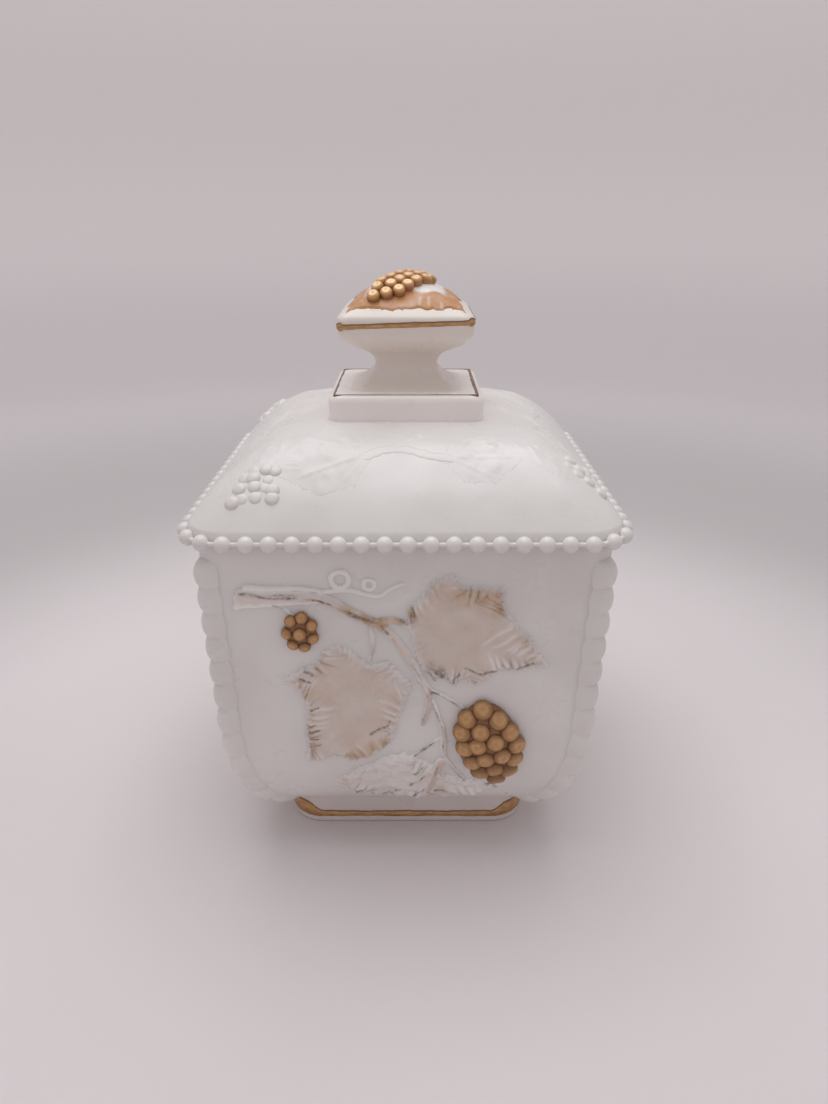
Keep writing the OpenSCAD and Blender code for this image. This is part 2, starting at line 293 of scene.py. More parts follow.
def relief(us, vs, lift, surface):
    """A closed skin over the cells of a grid where lift is above 0, bedded in the surface by SUNK.

    Returns its points and faces, and the grid index of each point."""
    shown = lift > 0
    cells = shown[:-1, :-1] | shown[1:, :-1] | shown[:-1, 1:] | shown[1:, 1:]
    used = np.zeros(lift.shape, bool)
    for dv in (0, 1):
        for du in (0, 1):
            used[dv:used.shape[0] - 1 + dv, du:used.shape[1] - 1 + du] |= cells
    index = np.full(lift.shape, -1)
    index[used] = np.arange(used.sum())
    n = int(used.sum())
    u, v = np.meshgrid(us, vs)
    top = surface(u[used], v[used], np.maximum(lift[used], -SUNK + 0.1))
    bottom = surface(u[used], v[used], np.full(n, -SUNK))
    corner = [index[:-1, :-1][cells], index[:-1, 1:][cells], index[1:, 1:][cells], index[1:, :-1][cells]]
    faces = np.stack(corner, axis=1).tolist()
    faces += (np.stack(corner[::-1], axis=1) + n).tolist()
    padded = np.pad(cells, 1)
    beside = (padded[:-2, 1:-1], padded[1:-1, 2:], padded[2:, 1:-1], padded[1:-1, :-2])
    for k, neighbour in enumerate(beside):
        open_edge = ~neighbour[cells]
        p, q = corner[k][open_edge], corner[(k + 1) % 4][open_edge]
        faces += np.stack([q, p, p + n, q + n], axis=1).tolist()
    where = np.flatnonzero(used.ravel())
    return np.vstack([top, bottom]), faces, np.concatenate([where, where])


def on_four_sides(name, made, paint, body, slot, node, material):
    """The same relief on each of the four sides, as four pieces."""
    points, faces, where = made
    colours = None if paint is None else paint.reshape(-1, paint.shape[-1])[where]
    for quarter, side in enumerate(SIDES):
        piece(f"{name}_{side}", turned(points, quarter), faces, body, slot, node, material, colours)


def bead_string(points, outward, count, radius, web, across=18):
    """Beads fused along a closed path of 3-D points, as one swept skin.

    outward points away from the path's middle at each of its points."""
    run = np.concatenate([[0], np.cumsum(np.linalg.norm(np.diff(points, axis=0), axis=1))])
    offsets = radius * np.sin(np.radians(np.arange(-84, 90, 12)))
    pitch = run[-1] / count
    stations = np.concatenate([np.append(k * pitch + offsets, (k + 0.5) * pitch) for k in range(count)])
    thick = (np.tile(np.append(np.sqrt(radius**2 - offsets**2), 0), count) ** 6 + web**6) ** (1 / 6)
    centre, out = (np.column_stack([np.interp(stations % run[-1], run, field[:, k]) for k in range(3)])
                   for field in (points, outward))
    out /= np.linalg.norm(out, axis=1)[:, None]
    side = np.cross(np.roll(centre, -1, axis=0) - np.roll(centre, 1, axis=0), out)
    side /= np.linalg.norm(side, axis=1)[:, None]
    a = np.arange(across) * 2 * math.pi / across
    rings = centre[:, None] + thick[:, None, None] * (np.cos(a)[None, :, None] * out[:, None]
                                                      + np.sin(a)[None, :, None] * side[:, None])
    return hoop(rings)


# ---- materials

class Shader:
    """A node material with a Principled shader, and short ways to add nodes to it."""

    def __init__(self, name, **sockets):
        self.material = bpy.data.materials.new(name)
        self.material.use_nodes = True
        self.tree = self.material.node_tree
        self.bsdf = self.tree.nodes["Principled BSDF"]
        for socket, value in sockets.items():
            self.bsdf.inputs[socket.replace("_", " ")].default_value = value
        self.place = self.add("NewGeometry").outputs["Position"]

    def add(self, kind, **settings):
        """A new node of a kind, with some settings."""
        made = self.tree.nodes.new("ShaderNode" + kind)
        for setting, value in settings.items():
            setattr(made, setting, value)
        return made

    def plug(self, value, socket):
        """Link an output to an input socket, or set the socket to a constant."""
        if isinstance(value, bpy.types.NodeSocket):
            self.tree.links.new(value, socket)
        else:
            socket.default_value = value

    def height(self):
        """Height above the floor, in metres."""
        made = self.add("SeparateXYZ")
        self.plug(self.place, made.inputs[0])
        return made.outputs["Z"]

    def distance_out(self):
        """Distance from the frame's origin, in metres."""
        made = self.add("VectorMath", operation="LENGTH")
        self.plug(self.place, made.inputs[0])
        return made.outputs["Value"]

    def noise(self, size, detail, stretch=(1, 1, 1)):
        """Noise with features about `size` millimetres across."""
        scaled = self.add("VectorMath", operation="MULTIPLY")
        self.plug(self.place, scaled.inputs[0])
        scaled.inputs[1].default_value = [s / (size * MM) for s in stretch]
        made = self.add("TexNoise")
        made.inputs["Scale"].default_value = 1
        made.inputs["Detail"].default_value = detail
        self.plug(scaled.outputs[0], made.inputs["Vector"])
        return made.outputs["Fac"]

    def math(self, kind, a, b, clamp=False):
        made = self.add("Math", operation=kind, use_clamp=clamp)
        self.plug(a, made.inputs[0])
        self.plug(b, made.inputs[1])
        return made.outputs[0]

    def spread(self, value, lo, hi, to_lo=0.0, to_hi=1.0):
        """A smooth step of value from lo..hi to to_lo..to_hi."""
        made = self.add("MapRange", interpolation_type="SMOOTHSTEP")
        for socket, number in zip(made.inputs, (value, lo, hi, to_lo, to_hi)):
            self.plug(number, socket)
        return made.outputs[0]

    def mix(self, amount, a, b):
        """Colour a where amount is 0, and b where it is 1."""
        made = self.add("Mix", data_type="RGBA")
        for index, value in ((0, amount), (6, a), (7, b)):
            self.plug(value, made.inputs[index])
        return made.outputs[2]

    def paint(self):
        """A piece's three paint masks, in the order in which its maker stacked them."""
        split = self.add("SeparateColor")
        self.plug(self.add("Attribute", attribute_name="paint").outputs["Color"], split.inputs[0])
        return split.outputs

    def bump(self, height, depth, below=None):
        """Bump of `depth` millimetres from a height of 0 to 1."""
        made = self.add("Bump")
        made.inputs["Strength"].default_value = 1
        made.inputs["Distance"].default_value = depth * MM
        self.plug(height, made.inputs["Height"])
        if below is not None:
            self.plug(below, made.inputs["Normal"])
        return made.outputs[0]

    def finish(self, colour, roughness, normal):
        self.plug(colour, self.bsdf.inputs["Base Color"])
        self.plug(roughness, self.bsdf.inputs["Roughness"])
        self.plug(normal, self.bsdf.inputs["Normal"])
        return self.material


# Colours: linear red, green and blue, and alpha.
OPAL_LIGHT = (0.84, 0.805, 0.785, 1)
OPAL_DEEP = (0.78, 0.74, 0.72, 1)
WARM_LIGHT = (0.87, 0.79, 0.725, 1)
WARM_DEEP = (0.83, 0.745, 0.68, 1)
# The plinth's glass is a lighter copy of the opal glass: painted light for the light that the glass and its
# surroundings bring into the knob's shade.
PLINTH_LIGHT = (0.96, 0.895, 0.86, 1)
PLINTH_DEEP = (0.93, 0.86, 0.82, 1)
# The foot's glass is a darker copy of the same opal glass: painted shade on the foot under the bowl.
FOOT_LIGHT = (0.73, 0.66, 0.63, 1)
FOOT_DEEP = (0.69, 0.62, 0.59, 1)
# The relief white is a lighter copy of the opal glass: partly the thicker relief's whiter tone, partly
# painted light where relief catches more light than the panels.
LIT_RELIEF_WHITE = (0.93, 0.90, 0.88, 1)
TAN = (0.56, 0.36, 0.20, 1)
PEACH = (0.55, 0.25, 0.09, 1)
BLUSH = (0.70, 0.575, 0.50, 1)
INK = (0.13, 0.095, 0.075, 1)
BROWN = (0.20, 0.13, 0.10, 1)
GOLD = (0.44, 0.225, 0.085, 1)
GOLD_BRIGHT = (0.62, 0.355, 0.155, 1)
# The pale gold and the knob berry's light gold below are a lighter copy of the gilding: painted light on the
# knob's top, which faces the lamp.
GOLD_PALE = (0.95, 0.65, 0.37, 1)
GOLD_LIT = (0.78, 0.435, 0.20, 1)
GOLD_DEEP = (0.27, 0.135, 0.062, 1)


def opal_base(shader, light, deep):
    """Slightly uneven white, and the soft ripples and fine texture of glass from an iron mould."""
    cloud = shader.noise(22, 2)
    colour = shader.mix(shader.spread(cloud, 0.3, 0.7), deep, light)
    ripples = shader.bump(shader.noise(9, 1), 0.2)
    fine = shader.bump(shader.noise(0.9, 3), 0.006, ripples)
    roughness = shader.spread(shader.noise(6, 4), 0.3, 0.7, 0.26, 0.4)
    return colour, roughness, fine


def opal_glass(name, light, deep, depth=0.0):
    """White glass; light spreads up to about 4 mm inside it where depth is above 0."""
    shader = Shader(name, Subsurface_Weight=depth, Subsurface_Radius=(1.0, 0.92, 0.85),
                    Subsurface_Scale=4 * MM, IOR=1.5, Coat_Weight=0.2, Coat_Roughness=0.16)
    return shader.finish(*opal_base(shader, light, deep))


def washed_glass(name, wash_colour, patch_size, thinnest):
    """White glass with a thin wash and rubbed dark strokes where the paint masks say."""
    shader = Shader(name, IOR=1.5, Coat_Weight=0.15, Coat_Roughness=0.1)
    colour, roughness, normal = opal_base(shader, LIT_RELIEF_WHITE, OPAL_LIGHT)
    wash, ink, tint = shader.paint()
    # On leaves the tint is thinned by painted highlight along the vein ridges and edges.
    colour = shader.mix(tint, colour, BLUSH)
    patchy = shader.spread(shader.noise(patch_size, 4), 0.25, 0.75, thinnest, 1.15)
    tan = shader.math("MULTIPLY", wash, patchy, clamp=True)
    colour = shader.mix(tan, colour, wash_colour)
    broken = shader.spread(shader.noise(0.8, 4), 0.32, 0.62, 0.35, 1.1)
    dark = shader.math("MULTIPLY", ink, broken, clamp=True)
    colour = shader.mix(dark, colour, INK)
    rough = shader.math("ADD", roughness, shader.math("MULTIPLY", tan, 0.18))
    return shader.finish(colour, rough, normal)


def gilded_relief(name, light, bright, deep):
    """Fired gold over glass, brighter in patches where handling has rubbed it and on each drupelet's top as
    painted highlight, and darker in the creases as painted shade.
    """
    shader = Shader(name, Metallic=0.3, IOR=1.5, Coat_Weight=0.3, Coat_Roughness=0.22)
    lit_top, _, crease_shade = shader.paint()
    # The drupelets' tops add painted highlight to the random wear.
    wear_and_highlight = shader.math("ADD", shader.noise(1.4, 4), shader.math("MULTIPLY", lit_top, 0.3))
    worn_and_lit = shader.spread(wear_and_highlight, 0.4, 0.85)
    colour = shader.mix(worn_and_lit, light, bright)
    # The creases and the cushion are painted shade.
    colour = shader.mix(crease_shade, colour, deep)
    roughness = shader.spread(shader.noise(0.7, 3), 0.3, 0.7, 0.34, 0.5)
    grain = shader.bump(shader.noise(0.35, 4), 0.02)
    return shader.finish(colour, roughness, grain)


def painted_line(name, light, deep, metallic):
    """A hand-painted line of fired colour, uneven in depth."""
    shader = Shader(name, Metallic=metallic, IOR=1.5)
    stroke = shader.noise(2.2, 4, stretch=(1, 1, 3))
    colour = shader.mix(shader.spread(stroke, 0.35, 0.7), light, deep)
    roughness = shader.spread(shader.noise(1, 3), 0.3, 0.7, 0.28, 0.45)
    return shader.finish(colour, roughness, shader.bump(stroke, 0.02))


OPAL = opal_glass("opal_glass", OPAL_LIGHT, OPAL_DEEP)
THICK_OPAL = opal_glass("thick_opal_glass", OPAL_LIGHT, OPAL_DEEP, 0.4)
WARM_OPAL = opal_glass("warm_opal_glass", WARM_LIGHT, WARM_DEEP)
PLINTH_LIT_OPAL = opal_glass("plinth_lit_opal_glass", PLINTH_LIGHT, PLINTH_DEEP)
FOOT_SHADED_OPAL = opal_glass("foot_shaded_opal_glass", FOOT_LIGHT, FOOT_DEEP)
# The tendrils are in the lighter relief white: painted light that offsets the shade round them.
TENDRIL_WHITE = opal_glass("tendril_glass", LIT_RELIEF_WHITE, OPAL_LIGHT)
WASHED = washed_glass("tan_washed_glass", TAN, 1.6, 0.6)
PEACH_WASHED = washed_glass("peach_washed_glass", PEACH, 4.0, 0.8)
GILDED = gilded_relief("gilded_relief", GOLD, GOLD_BRIGHT, GOLD_DEEP)
# The knob berry's gilding is a lighter copy, with paler creases: painted light where the knob's top faces the
# lamp.
LIT_GILDED = gilded_relief("lit_gilded_relief", GOLD_LIT, GOLD_PALE, GOLD)
GOLD_LINE = painted_line("gold_line", GOLD_BRIGHT, GOLD, 0.3)
DARK_LINE = painted_line("dark_gold_line", GOLD_DEEP, BROWN, 0.1)
BROWN_LINE = painted_line("brown_line", BROWN, GOLD_DEEP, 0.1)


# ---- surfaces

def curve_point(phi, lift=0.0):
    """Half width and height on the jar's curved lower side at angle phi, lifted off the surface."""
    across, down = np.cos(phi), np.sin(phi)
    slope = np.stack([across ** (2 - CURVE_POWER) / CURVE_A, -down ** (2 - CURVE_POWER) / CURVE_B])
    slope /= np.hypot(*slope)
    return (CURVE_X + CURVE_A * across**CURVE_POWER + lift * slope[0],
            CURVE_TOP - CURVE_B * down**CURVE_POWER + lift * slope[1])


def flare(z):
    """Half width of the jar's straight sides at height z; they lean outwards a little."""
    return WAIST + (JAR_HALF - WAIST) * (z - CURVE_TOP) / (JAR_TOP - CURVE_TOP)


def panel_surface(x, z, lift):
    """Points on the jar's front panel at x and height z, lifted off it."""
    down = np.clip((CURVE_TOP - z) / CURVE_B, 0, (CURVE_TOP - FOOT_TOP) / CURVE_B)
    half, height = curve_point(np.arcsin(down ** (1 / CURVE_POWER)), lift)
    straight = z >= CURVE_TOP
    return np.stack([x, -np.where(straight, flare(z) + lift, half), np.where(straight, z, height)], axis=-1)


def outer_corner(z):
    """The jar's corner radius at height z; it softens towards the foot."""
    return JAR_CORNER + (FOOT_CORNER - 1 - JAR_CORNER) * (max(CURVE_TOP - z, 0) / CURVE_TOP) ** 2


def plan_half(x, y, corner):
    """Half width of the rounded square that passes through x, y in plan."""
    a, b = np.maximum(np.abs(x), np.abs(y)), np.minimum(np.abs(x), np.abs(y))
    round_part = (a + b - np.sqrt(np.maximum(2 * corner**2 - (a - b) ** 2, 0))) / 2 + corner
    return np.where(a - b >= corner, a, round_part)


def shell_surface(x, y, lift, line, corners):
    """Points on a shell of rounded squares at x, y in plan, lifted off it.

    line is its half widths and heights, and corners their corner radii."""
    halves, heights = line[::-1].T
    corner = np.full(np.shape(x), float(corners[0]))
    for _ in range(3):
        half = plan_half(x, y, corner)
        corner = np.interp(half, halves, corners[::-1])
    slope = np.gradient(heights, halves)
    fall = np.interp(half, halves, slope)
    inner = half - corner
    px, py = np.sign(x) * np.maximum(np.abs(x) - inner, 0), np.sign(y) * np.maximum(np.abs(y) - inner, 0)
    size = np.maximum(np.hypot(px, py), 1e-6)
    steep = np.hypot(fall, 1)
    return np.stack([x - lift * fall / steep * px / size, y - lift * fall / steep * py / size,
                     np.interp(half, halves, heights) + lift / steep], axis=-1)


DOME_CURVE = bezier(DOME_LINE, np.linspace(0, 1, 81))
DOME_CORNERS = LID_CORNER + (LID_CORNER_TOP - LID_CORNER) * np.linspace(0, 1, 81)
CROWN_LINE = [(KNOB_HALF - 1.6, KNOB_RIM + 1.3), (10.6, KNOB_RIM + 4.2), (6.2, KNOB_RIM + 7.2),
              (1.0, KNOB_RIM + 7.6)]
CROWN_CURVE = bezier(CROWN_LINE, np.linspace(0, 1, 41))
CROWN_CORNERS = np.minimum(0.8 * CROWN_CURVE[:, 0], 3)


def dome_surface(x, y, lift):
    return shell_surface(x, y, lift, DOME_CURVE, DOME_CORNERS)


def crown_surface(x, y, lift):
    return shell_surface(x, y, lift, CROWN_CURVE, CROWN_CORNERS)


# ---- leaves

TOOTH_HALF = 0.9           # half width of a tooth at its root
GROOVE_HALF = 0.34         # half width of the groove between two side veins
RIDGE_HALF = 0.42          # half width of the ridge on a side vein
MARK_DEPTH = 0.22          # how deep a dark stroke is cut


def flat_grid(points, margin, grid_step):
    """A flat grid round some points: its two axes, and all its points."""
    lo, hi = points.min(axis=0) - margin, points.max(axis=0) + margin
    us, vs = np.arange(lo[0], hi[0], grid_step), np.arange(lo[1], hi[1], grid_step)
    return us, vs, np.stack(np.meshgrid(us, vs), axis=-1).reshape(-1, 2)


def patches(grid, spots):
    """The strongest of some soft round spots of (x, z, radius, strength) at each grid point."""
    field = np.zeros(len(grid))
    for x, z, radius, strength in spots:
        away = ((grid[:, 0] - x) ** 2 + (grid[:, 1] - z) ** 2) / radius**2
        field = np.maximum(field, strength * np.exp(-(away**1.5)))
    return field


def side_veins(outline, main, spacing, reach, seed):
    """Side veins from the main veins to beyond the outline, each with a random boldness for its groove."""
    rng = np.random.default_rng(seed)
    out = []
    for a, b in zip(outline, np.roll(outline, -1, axis=0)):
        count = max(1, round(np.hypot(*(b - a)) / spacing))
        for i in range(count):
            edge = a + (b - a) * (i + (rng.uniform(-0.3, 0.3) if i else 0)) / count
            places = [(*(field[0] for field in line_distance(edge[None], v)), k) for k, v in enumerate(main)]
            away, along, vein = min(places)
            stalk, tip = main[vein]
            start = stalk + (tip - stalk) * max(along - 0.7 * away / np.hypot(*(tip - stalk)), 0.02)
            length = max(np.hypot(*(edge - start)), 0.5)
            heading = (edge - start) / length
            end = edge + heading * reach * rng.uniform(0.4, 1.3)
            bend = np.array([-heading[1], heading[0]]) * rng.uniform(-0.1, 0.1) * length
            out.append((smooth_path([start, (start + end) / 2 + bend, end], 3), rng.uniform(0.1, 1)))
    return out


def vein_fields(grid, veins, body):
    """Distances to the nearest two side veins, the nearest one's boldness, and the body with its teeth."""
    first, second, bold = np.full(len(grid), 99.0), np.full(len(grid), 99.0), np.zeros(len(grid))
    for path, boldness in veins:
        away, along = line_distance(grid, path)
        to_end = (1 - along) * np.hypot(*np.diff(path, axis=0).T).sum()
        body = np.maximum(body, np.minimum(0.1 + 0.5 * to_end, TOOTH_HALF) - away)
        closer = away < first
        second = np.where(closer, first, np.minimum(second, away))
        bold = np.where(closer, boldness, bold)
        first = np.where(closer, away, first)
    return first, second, bold, body


def on_grid(us, vs, lift, *masks):
    """A grid's axes, and the lift and the paint masks as tables over it."""
    shape = (len(vs), len(us))
    return us, vs, lift.reshape(shape), np.stack(masks, axis=-1).reshape(*shape, len(masks))


def leaf(outline, stalk, tips, washes=(), inks=(), marks=(), thick=0.85, spacing=1.8, reach=0.7, soft=0.9,
         cast=0.95, folds=0.17, groove_depth=0.34, grid_step=0.22, seed=1):
    """A relief leaf on a flat grid: its axes, its lift, and its paint of wash, ink, and blush thinned by
    painted highlight.
    """
    outline = np.asarray(outline, float)
    us, vs, grid = flat_grid(outline, 2, grid_step)
    x, y = grid.T
    main = [np.array([stalk, tip], float) for tip in tips]
    edge = edge_distance(grid, outline) + 0.25 * ripple(x, y, 3.7, seed + 5)
    veins = side_veins(outline, main, spacing, reach, seed)
    first, second, bold, body = vein_fields(grid, veins, edge - 0.1)
    to_main = np.min([line_distance(grid, vein)[0] for vein in main], axis=0)
    stroke = np.exp(-(((second - first) / GROOVE_HALF) ** 2))
    groove = stroke * step(edge, 7, 1.2) * (0.35 + 0.65 * bold)
    ridge = np.exp(-((first / RIDGE_HALF) ** 2)) * step(to_main, 0, 2)
    lift = thick * (0.66 + 0.34 * (1 - np.exp(-((to_main / 1.7) ** 2))))
    lift += 0.16 * np.exp(-((to_main / 0.5) ** 2))
    lift += 0.3 * thick * step(edge, 4.5, 1) + 0.4 * groove_depth * ridge - groove_depth * groove
    lift += folds * (ripple(x, y, 4.1, seed) + 0.6 * ripple(y, x, 7.7, seed + 1))
    lift = np.where(body < 0, body * 1.2, lift * step(body, -0.05, soft))
    wash = patches(grid, washes) * (0.8 + 0.4 * groove) * step(body, 0, 0.5)
    dark = patches(grid, inks) * np.clip(2.2 * bold - 0.6, 0, 1) * stroke**0.5
    dark *= step(edge, 5, 1) * step(edge, -0.2, 0.5)
    for path in marks:
        away, along = line_distance(grid, smooth_path(path, 4))
        mark = np.exp(-((away / (0.36 - 0.2 * along)) ** 2)) * (body > 0)
        dark = np.maximum(dark, 0.85 * mark)
        lift -= MARK_DEPTH * mark
    # The blush is thinner along the side-vein ridges and towards the leaf's edges: painted highlight where
    # these catch the light.
    blush_and_highlight = cast * (0.9 + 0.12 * ripple(x, y, 8, seed + 2) - 0.55 * ridge)
    blush_and_highlight *= 0.25 + 0.75 * step(body, 0.2, 1.2)
    return on_grid(us, vs, lift, wash, dark, np.clip(blush_and_highlight, 0, 1))


# The leaves of a jar panel, in its x and height. Washes and inks are soft spots of (x, height, radius,
# strength), and marks are the dark strokes that show singly.
JAR_LEAVES = {
    "upper": dict(
        seed=3, stalk=(1.2, 66.4),
        outline=[(0.4, 72.6), (3, 74.2), (6.5, 79), (10.4, 80.4), (12.2, 77.4), (17.4, 77.2), (21.8, 77.2),
                 (22, 72), (24.6, 68), (28.6, 64), (32.8, 57), (26, 55.8), (22.2, 56.2), (16.6, 51.8),
                 (12.6, 53.4), (11.4, 51.4), (7.8, 54.2), (6.6, 53), (3.8, 56.4), (2, 61.4)],
        tips=[(9.6, 79), (21, 76.2), (32, 57.6), (16, 53), (5.6, 55)],
        washes=[(13.4, 75.2, 3.2, 0.8), (17.4, 74.8, 3.2, 0.85), (21.2, 73, 3, 0.95), (5.6, 77.4, 2.4, 0.5),
                (26, 67.4, 1.7, 0.6), (27.8, 64.6, 1.6, 0.75), (29.6, 62, 1.4, 0.6),
                (0.6, 70.6, 2.2, 0.95)],
        inks=[(7, 55, 3.4, 0.8), (12, 53, 3.4, 0.9), (17, 53, 3.4, 0.9), (23, 56.4, 3, 0.7),
              (29, 57, 3, 0.7), (0.8, 71, 2.4, 1), (16, 76, 4, 0.5), (22, 74, 3, 0.5)],
        marks=[[(6.9, 52.8), (5.4, 55.7)], [(10.8, 52.3), (9.1, 53.2), (7.4, 55.2)],
               [(12.3, 54.9), (10.7, 53.5)], [(20.9, 56), (17.4, 55.2), (15.6, 55.7), (13.6, 56.8)],
               [(29.3, 57.9), (26.4, 56.8), (23, 56)], [(-0.3, 72.7), (0.6, 69.5)],
               [(0.9, 74.3), (2, 71.1)]]),
    "side": dict(
        seed=5, stalk=(-9.4, 56.4),
        outline=[(-24.2, 56.4), (-20.8, 57.8), (-18.6, 60.8), (-15.4, 62.5), (-13, 60.8), (-9.8, 58.4),
                 (-8.2, 57), (-4, 57.8), (-1.4, 55), (1.2, 52), (-1.8, 42), (-3.8, 35), (-9.6, 30.6),
                 (-13.6, 29.4), (-16.6, 31.6), (-19.6, 30), (-24.2, 29.4), (-23.4, 34), (-24, 38),
                 (-23.2, 43), (-23.8, 47), (-24.6, 50), (-28.6, 53)],
        tips=[(-16, 61.6), (-28, 53), (-23.6, 31), (-13.8, 30.4), (-4.4, 36), (0.4, 51.6)],
        washes=[(-20.6, 59, 1.8, 0.85), (-19.6, 56.4, 2.4, 0.5), (-24, 50, 2.4, 0.6), (-24, 44, 2.6, 0.5),
                (-24, 38.5, 2.6, 0.6), (-23.8, 34, 2.6, 0.5), (-14.4, 30.6, 1.8, 0.75),
                (-11.6, 31.6, 2.2, 0.95), (-8.2, 33.4, 2.2, 0.95), (-5, 35.4, 1.8, 0.85)],
        inks=[(-24, 50, 3, 0.8), (-24, 44, 3, 0.7), (-24, 38, 3, 0.85), (-23.6, 33, 3, 0.85),
              (-20, 57, 3, 0.6), (-19.6, 30.6, 2.2, 0.7), (-9, 34, 4.6, 0.9), (-3, 40, 3, 0.5)],
        marks=[[(-23.5, 40.3), (-21.5, 40.9)], [(-23.2, 38.5), (-20.7, 39.1)], [(-23.1, 36.7), (-21, 36.4)],
               [(-23.2, 34.3), (-20.6, 34.9)], [(-24.7, 53.2), (-22.2, 52.7)],
               [(-19.7, 30), (-17.9, 30.7), (-16.4, 32)],
               [(-8.4, 38.2), (-6.2, 39.7), (-4.6, 40.3), (-3.8, 42)], [(0.5, 42.9), (-1, 41.2)],
               [(-23.4, 55.7), (-21.6, 54.4)], [(-22.5, 45.1), (-20.6, 45.7)]]),
    "lower": dict(
        seed=8, cast=0.3, folds=0.3, thick=0.65, spacing=2.4, stalk=(3.4, 22.6),
        outline=[(-0.4, 32), (-6, 30), (-11.6, 26.8), (-17.8, 21.8), (-12.8, 17.4), (-6.8, 15.4), (1, 14.6),
                 (9, 14.8), (17.4, 15.8), (24, 19.6), (16.4, 22), (10.6, 23.8), (5, 29)],
        tips=[(-1, 30.6), (-11, 25.6), (-16.6, 21.4), (-6, 16.6), (8, 15.6), (22.6, 19.2)],
        washes=[(6.4, 24, 2.6, 0.35), (-16, 21, 2.4, 0.4), (8.8, 18, 2, 0.5), (-7, 16.8, 2.2, 0.3)],
        inks=[(-9, 19, 4.4, 1), (-3, 17, 4, 0.9), (4, 17.6, 4, 1), (1, 25, 3.6, 0.9), (14, 18, 3, 0.6)],
        marks=[[(1.1, 20.1), (2.9, 21.9), (4.6, 23.9)], [(0.8, 14.9), (2.4, 16.4), (4.4, 19.2)],
               [(-10.6, 17), (-7.4, 16.2), (-3.6, 15.8)], [(-12.6, 17.7), (-11.6, 18.7)],
               [(-9, 18.7), (-8, 19.6)], [(-2.7, 17.7), (-1.4, 18.7)], [(2.1, 25), (4.1, 27.3)],
               [(7.3, 17.7), (10.3, 18.2)], [(20.3, 20.6), (21.8, 20.2), (23.2, 19.4)]]),
}


def leaves_on_jar():
    for name, design in JAR_LEAVES.items():
        us, vs, lift, paint = leaf(**design)
        made = relief(us, vs, lift, panel_surface)
        on_four_sides(f"{name}_leaf", made, paint, "jar", "tan_wash", f"{name}_leaves", WASHED)


# ---- vine, tendrils and berries

def strokes_relief(strokes, grid_step, roundness, lines=(), washes=()):
    """Rounded strokes on a flat grid, with dark lines and washed spots painted on them.

    A stroke is (points, start radius, end radius), and a tinted one has the strength of its tint fourth.
    A line is (points, half width, strength)."""
    paths = [(smooth_path(points), *sizes) for points, *sizes in strokes]
    widest = max(max(sizes[:2]) for _, *sizes in paths)
    us, vs, grid = flat_grid(np.vstack([path for path, *_ in paths]), widest + 0.6, grid_step)
    x, y = grid.T
    lift, tint = np.full(len(grid), -SUNK), np.zeros(len(grid))
    for path, r0, r1, *shade in paths:
        away, along = line_distance(grid, path)
        radius = (r0 + (r1 - r0) * along) * (1 + 0.12 * ripple(x, y, 2.7, 5))
        inside = np.clip(1 - (away / radius) ** 2, 0, 1)
        dome = roundness * np.minimum(radius, 1.3) * np.sqrt(inside)
        lift = np.maximum(lift, np.where(away < radius, dome, radius - away))
        tint = np.maximum(tint, (shade[0] if shade else 0) * step(away, radius, 0.5 * radius))
    dark = np.zeros(len(grid))
    for points, width, strength in lines:
        away, _ = line_distance(grid, smooth_path(points))
        away = np.abs(away + 0.14 * ripple(x, y, 5.3, 4))
        mark = np.exp(-((away / width) ** 2)) * np.clip(0.65 + 0.7 * ripple(x, y, 6.1, 9), 0.15, 1)
        dark = np.maximum(dark, strength * mark)
    lift -= MARK_DEPTH * dark * (lift > 0.3)
    return on_grid(us, vs, lift, patches(grid, washes), np.clip(dark, 0, 1), tint)


# The vine on a jar panel, in its x and height.
VINE_STROKES = [
    ([(-36.2, 75), (-30, 75), (-23.4, 75.2), (-18, 74.6), (-15, 73.2)], 2.1, 0.9, 0.55),
    ([(-35.3, 77.3), (-30, 76.9), (-24, 77), (-18.4, 76.2)], 0.75, 0.5),
    ([(-37.8, 72.5), (-33, 72.9), (-27, 73.3), (-20, 73.6)], 0.8, 0.5),
    ([(-35.4, 77.4), (-36.6, 75), (-38, 72.4)], 0.7, 0.8),
    ([(-18.4, 74.6), (-15, 72.8), (-11.9, 70.8), (-6.5, 68), (-2.5, 64), (1.6, 57.4)], 1.2, 0.9, 0.7),
    ([(1.2, 58.2), (3.4, 54), (5.4, 50)], 1.0, 0.8, 0.3),
    ([(5.4, 50.4), (8.6, 39.8), (9.5, 31), (14.6, 22)], 0.55, 0.5),
    ([(-7.5, 68.4), (-3, 69), (0.8, 67.8)], 0.9, 0.9, 0.5),
    ([(5.6, 50.4), (9, 48.6), (13.4, 45.2)], 0.5, 0.45),
    ([(-29.4, 73), (-26.8, 71.6), (-25.2, 69.6)], 0.5, 0.45),
    ([(-8, 67.4), (-7.4, 62.8), (-8.2, 58.6)], 0.55, 0.4, 0.2),
    ([(5.7, 49.6), (5.3, 45), (4.1, 40.6)], 1.0, 0.5, 1.0),
    ([(8.7, 39.8), (9.4, 35.6), (9.6, 31)], 0.75, 0.5, 0.8),
    ([(8.5, 29), (7.9, 27), (6.9, 22.4), (5.6, 17.4)], 1.25, 0.7, 1.0),
    ([(8, 36.4), (5, 33.6), (1.9, 30.9)], 0.4, 0.35),
    ([(4.9, 22.4), (3.4, 17.4), (1, 13.8)], 0.45, 0.35, 0.4),
]

